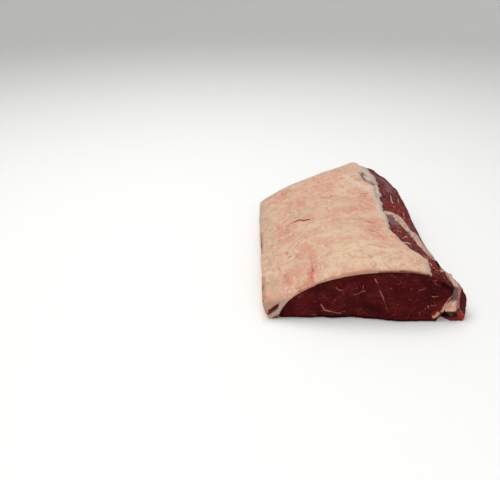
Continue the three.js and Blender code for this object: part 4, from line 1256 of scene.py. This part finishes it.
@dataclass
class SideStrap(Cut):
    """The strap of lean along the chine side, with its torn pale fascia.

    Attributes:
        marks: Fat along its edges, bands of fascia on its outside, grey patches that are partly painted
        sheen, and painted shade in the gap under its foot and at its near corner.
    """

    marks: tuple[Mark, ...] = (
        Mark("thread", View.FRONT, ((98, 8.5), (104.1, 5.4), (109.4, 2.8), (116, 1.6)), 1.3, -0.2, 0.45),
        Mark("bump", View.ROUND, ((103, -114, 38), (105, -130, 36.5), (106, -138, 36)), 15.0, 2.8, 0.0),
        Mark("bright", View.FRONT, ((108.4, 9), (112, 7.4), (116, 3.8)), 7.0, 0.0, 0.85),
        Mark("thread", View.FRONT, ((109.4, 18), (112.4, 12), (115.4, 7)), 2.0, -0.2, 0.55),
        # Painted shade in the gap under the strap's foot.
        Mark("dark_tone_and_shade", View.FRONT, ((94, 4), (98, 7), (103, 7.4), (106.4, 6.4)), 6.6, 0.3, 1.0),
        Mark("band", View.ROUND, ((100.6, -144.2, 38.6), (106.1, -147.2, 37.2), (108.5, -159.2, 37.5), (110, -172, 37)), 6.5, -0.3, 1.0),
        Mark("grey_skin_and_sheen", View.ROUND, ((103.7, -160.1, 37.8), (104.0, -169.5, 38.1)), 7.0, 0.3, 1.0),
        # Painted shade at the near corner, next to the seam fat.
        Mark("dark_tone_and_shade", View.ROUND, ((101, -176, 38), (103, -186, 37)), 6.0, 0.3, 0.8),
        Mark("bright", View.ROUND, ((100, -157, 38), (100, -166, 38)), 4.0, 0.0, 0.6),
        Mark("band", View.TOP, ((98, -120), (100, -60), (98, -20), (100, 30)), 7.0, -0.3, 0.9),
        Mark("band", View.CHINE, ((-170, 30), (-120, 34), (-60, 30), (0, 26)), 8.0, 0.0, 0.7),
        Mark("band", View.CHINE, ((-150, 12), (-90, 14), (-30, 10), (30, 8)), 6.0, 0.0, 0.55),
    )

    def shape(self, carving: Carving) -> None:
        """Gives the strap its lengthwise bundles and its fascia."""
        carving.relax(2)
        carving.sink(SLUMP, 16.0, 2.4)
        carving.sink(SHOULDER, 15.0, -3.0)
        across = carving.facing(View.FRONT, 0.5, 0.8)
        points = carving.points
        heights = 0.5 * ripple(points, (16.0, 30.0, 12.0), 7.7) + 0.1
        heights += (1 - across) * 0.4 * ripple(points, (4.0, 34.0, 4.0), 9.1)
        carving.push(heights)
        carving.paint("flank", 1 - across)
        carving.draw(self.marks)


@dataclass
class SeamLump(Cut):
    """The lump of seam fat at the front corner, under its lilac skin.

    Attributes:
        marks: The pale band along its top, its pink outer edge, and painted shade in the dip beside it
        and in the gap under it.
    """

    marks: tuple[Mark, ...] = (
        Mark("band", View.ROUND, ((107.5, -155, 38), (108.2, -171.8, 38.0), (110, -184, 37.5)), 7.0, -0.2, 1.0),
        Mark("edge", View.ROUND, ((111.5, -186, 37.0), (112, -189, 29.0), (110.4, -195, 23.4), (108.6, -197.9, 17)), 6.0, -0.3, 1.0),
        # Painted shade in the dip beside the lump and in the gap under it.
        Mark("dark_tone_and_shade", View.ROUND, ((103, -184, 38), (105, -188, 38.5)), 4.0, 0.2, 0.9),
        Mark("dark_tone_and_shade", View.FRONT, ((101.6, 26.4), (102.4, 24.6)), 1.8, 0.3, 0.6),
        Mark("dark_tone_and_shade", View.FRONT, ((95, 10.6), (99, 11.0), (104, 11.2), (107, 9.5)), 4.4, 0.0, 1.0),
    )

    def shape(self, carving: Carving) -> None:
        """Makes the fat lumpy and paints the skin over its top."""
        carving.relax(2)
        carving.sink(SLUMP, 16.0, 2.4)
        carving.sink(SHOULDER, 15.0, -3.0)
        points = carving.points
        carving.push(0.6 * ripple(points, (7.0, 7.0, 6.0), 1.9, 3) + 0.15)
        carving.paint("skin", fade(points[:, 2], 21, 27) * fade(points[:, 0], 110.5, 108.5) * fade(points[:, 1], -176, -184))
        carving.draw(self.marks)


@dataclass
class Studio:
    """The pale bowl that the joint lies in, its soft lights and the camera.

    Attributes:
        focal: Focal length in picture widths times the sensor width, in millimetres.
        eye: The camera's place in millimetres.
        pitch: How far it looks down, in degrees.
        floor_radius: Radius of the flat floor in metres.
        sweep: Radius of the curve between floor and wall in metres.
        wall: Height of the wall in metres.
        sky: Strength of the light from all round.
        key_watts: Power of the softbox overhead.
        fill_watts: Power of the softbox above the camera.
    """

    focal: float = 46.296
    eye: tuple[float, float, float] = (-134.56, -846.44, 405.9)
    pitch: float = 25.0
    floor_radius: float = 2.2
    sweep: float = 1.0
    wall: float = 2.5
    sky: float = 0.36
    key_watts: float = 15.2
    fill_watts: float = 6.0

    def build(self) -> None:
        """Sets up the camera, the floor and the lights."""
        self.place_camera()
        self.lay_floor()
        self.hang_lights()

    def place_camera(self) -> None:
        """Puts the camera where the photograph was taken from."""
        lens = bpy.data.cameras.new("camera")
        lens.lens = self.focal
        lens.sensor_width = 36.0
        lens.sensor_fit = "HORIZONTAL"
        lens.clip_start = 0.05
        camera = bpy.data.objects.new("camera", lens)
        camera.location = Vector(self.eye) * MM
        camera.rotation_euler = (math.radians(90 - self.pitch), 0.0, 0.0)
        bpy.context.scene.collection.objects.link(camera)
        bpy.context.scene.camera = camera

    def lay_floor(self) -> None:
        """Makes one pale surface of floor and wall, spun round the joint."""
        shape = bmesh.new()
        profile = [(0.0, 0.0), (self.floor_radius, 0.0)]
        for step in range(1, 9):
            turn = math.radians(90 * step / 8)
            out = self.floor_radius + self.sweep * math.sin(turn)
            profile.append((out, self.sweep * (1 - math.cos(turn))))
        profile.append((self.floor_radius + self.sweep, self.wall))
        corners = [shape.verts.new((out, 0.0, up)) for out, up in profile]
        edges = [shape.edges.new(pair) for pair in zip(corners[:-1], corners[1:])]
        bmesh.ops.spin(
            shape, geom=corners + edges, axis=(0, 0, 1), cent=(0, 0, 0), angle=math.tau, steps=64, use_merge=True
        )
        bmesh.ops.remove_doubles(shape, verts=shape.verts[:], dist=1e-4)
        bmesh.ops.recalc_face_normals(shape, faces=shape.faces[:])
        mesh = bpy.data.meshes.new("floor")
        shape.to_mesh(mesh)
        shape.free()
        mesh.shade_smooth()
        floor = bpy.data.objects.new("floor", mesh)
        bpy.context.scene.collection.objects.link(floor)
        paper = Bench("pale_paper")
        matt = paper.add(
            "ShaderNodeBsdfPrincipled",
            {"Base Color": linear("#fdfdfc"), "Roughness": 0.9, "Specular IOR Level": 0.1},
        )
        paper.add("ShaderNodeOutputMaterial", {"Surface": matt.outputs[0]})
        mesh.materials.append(paper.material)

    def hang_lights(self) -> None:
        """Lights the bowl with an even sky, a large softbox overhead and a smaller one in front."""
        world = bpy.data.worlds.new("sky")
        world.use_nodes = True
        world.node_tree.nodes["Background"].inputs["Color"].default_value = (1.0, 1.0, 1.0, 1.0)
        world.node_tree.nodes["Background"].inputs["Strength"].default_value = self.sky
        bpy.context.scene.world = world
        self.hang_softbox("key", self.key_watts, (1.4, 1.0), (-0.35, 0.25, 1.5))
        self.hang_softbox("fill", self.fill_watts, (1.2, 0.6), (-0.05, -1.35, 0.85))
        bpy.context.scene.view_settings.view_transform = "Standard"

    def hang_softbox(
        self, name: str, watts: float, size: tuple[float, float], place: tuple[float, float, float]
    ) -> None:
        """Hangs one softbox that faces the joint.

        Args:
            name: The lamp's name.
            watts: Its power.
            size: Its width and height in metres.
            place: Its place in metres.
        """
        softbox = bpy.data.lights.new(name, "AREA")
        softbox.shape = "RECTANGLE"
        softbox.size, softbox.size_y = size
        softbox.energy = watts
        lamp = bpy.data.objects.new(name, softbox)
        lamp.location = place
        lamp.rotation_euler = (-lamp.location).to_track_quat("-Z", "Y").to_euler()
        bpy.context.scene.collection.objects.link(lamp)


def main() -> None:
    """Builds the studio and each piece of the joint, and reports them."""
    logging.basicConfig(level=logging.INFO, format="%(name)s: %(message)s", stream=sys.stdout)
    Studio().build()
    cuts = (
        EyeMuscle("eye_muscle", "eye_of_loin", "lean", LEAN, Meshing(1.5)),
        FatCap("fat_cap", "back_fat", "fat", BACK_FAT, Meshing(1.4)),
        TailStrip("tail_muscle", "tail_strip", "thin_lean", TAIL_LEAN, Meshing(0.6)),
        SideStrap("strap_muscle", "side_strap", "side_lean", STRAP_LEAN, Meshing(1.0)),
        SeamLump("seam_fat", "seam_lump", "seam", SEAM_FAT, Meshing(0.6)),
    )
    for cut in cuts:
        piece = cut.build()
        piece.data.calc_loop_triangles()
        LOG.info("%s stands for %s: %d triangles", piece.name, cut.node, len(piece.data.loop_triangles))


if __name__ == "__main__":
    main()
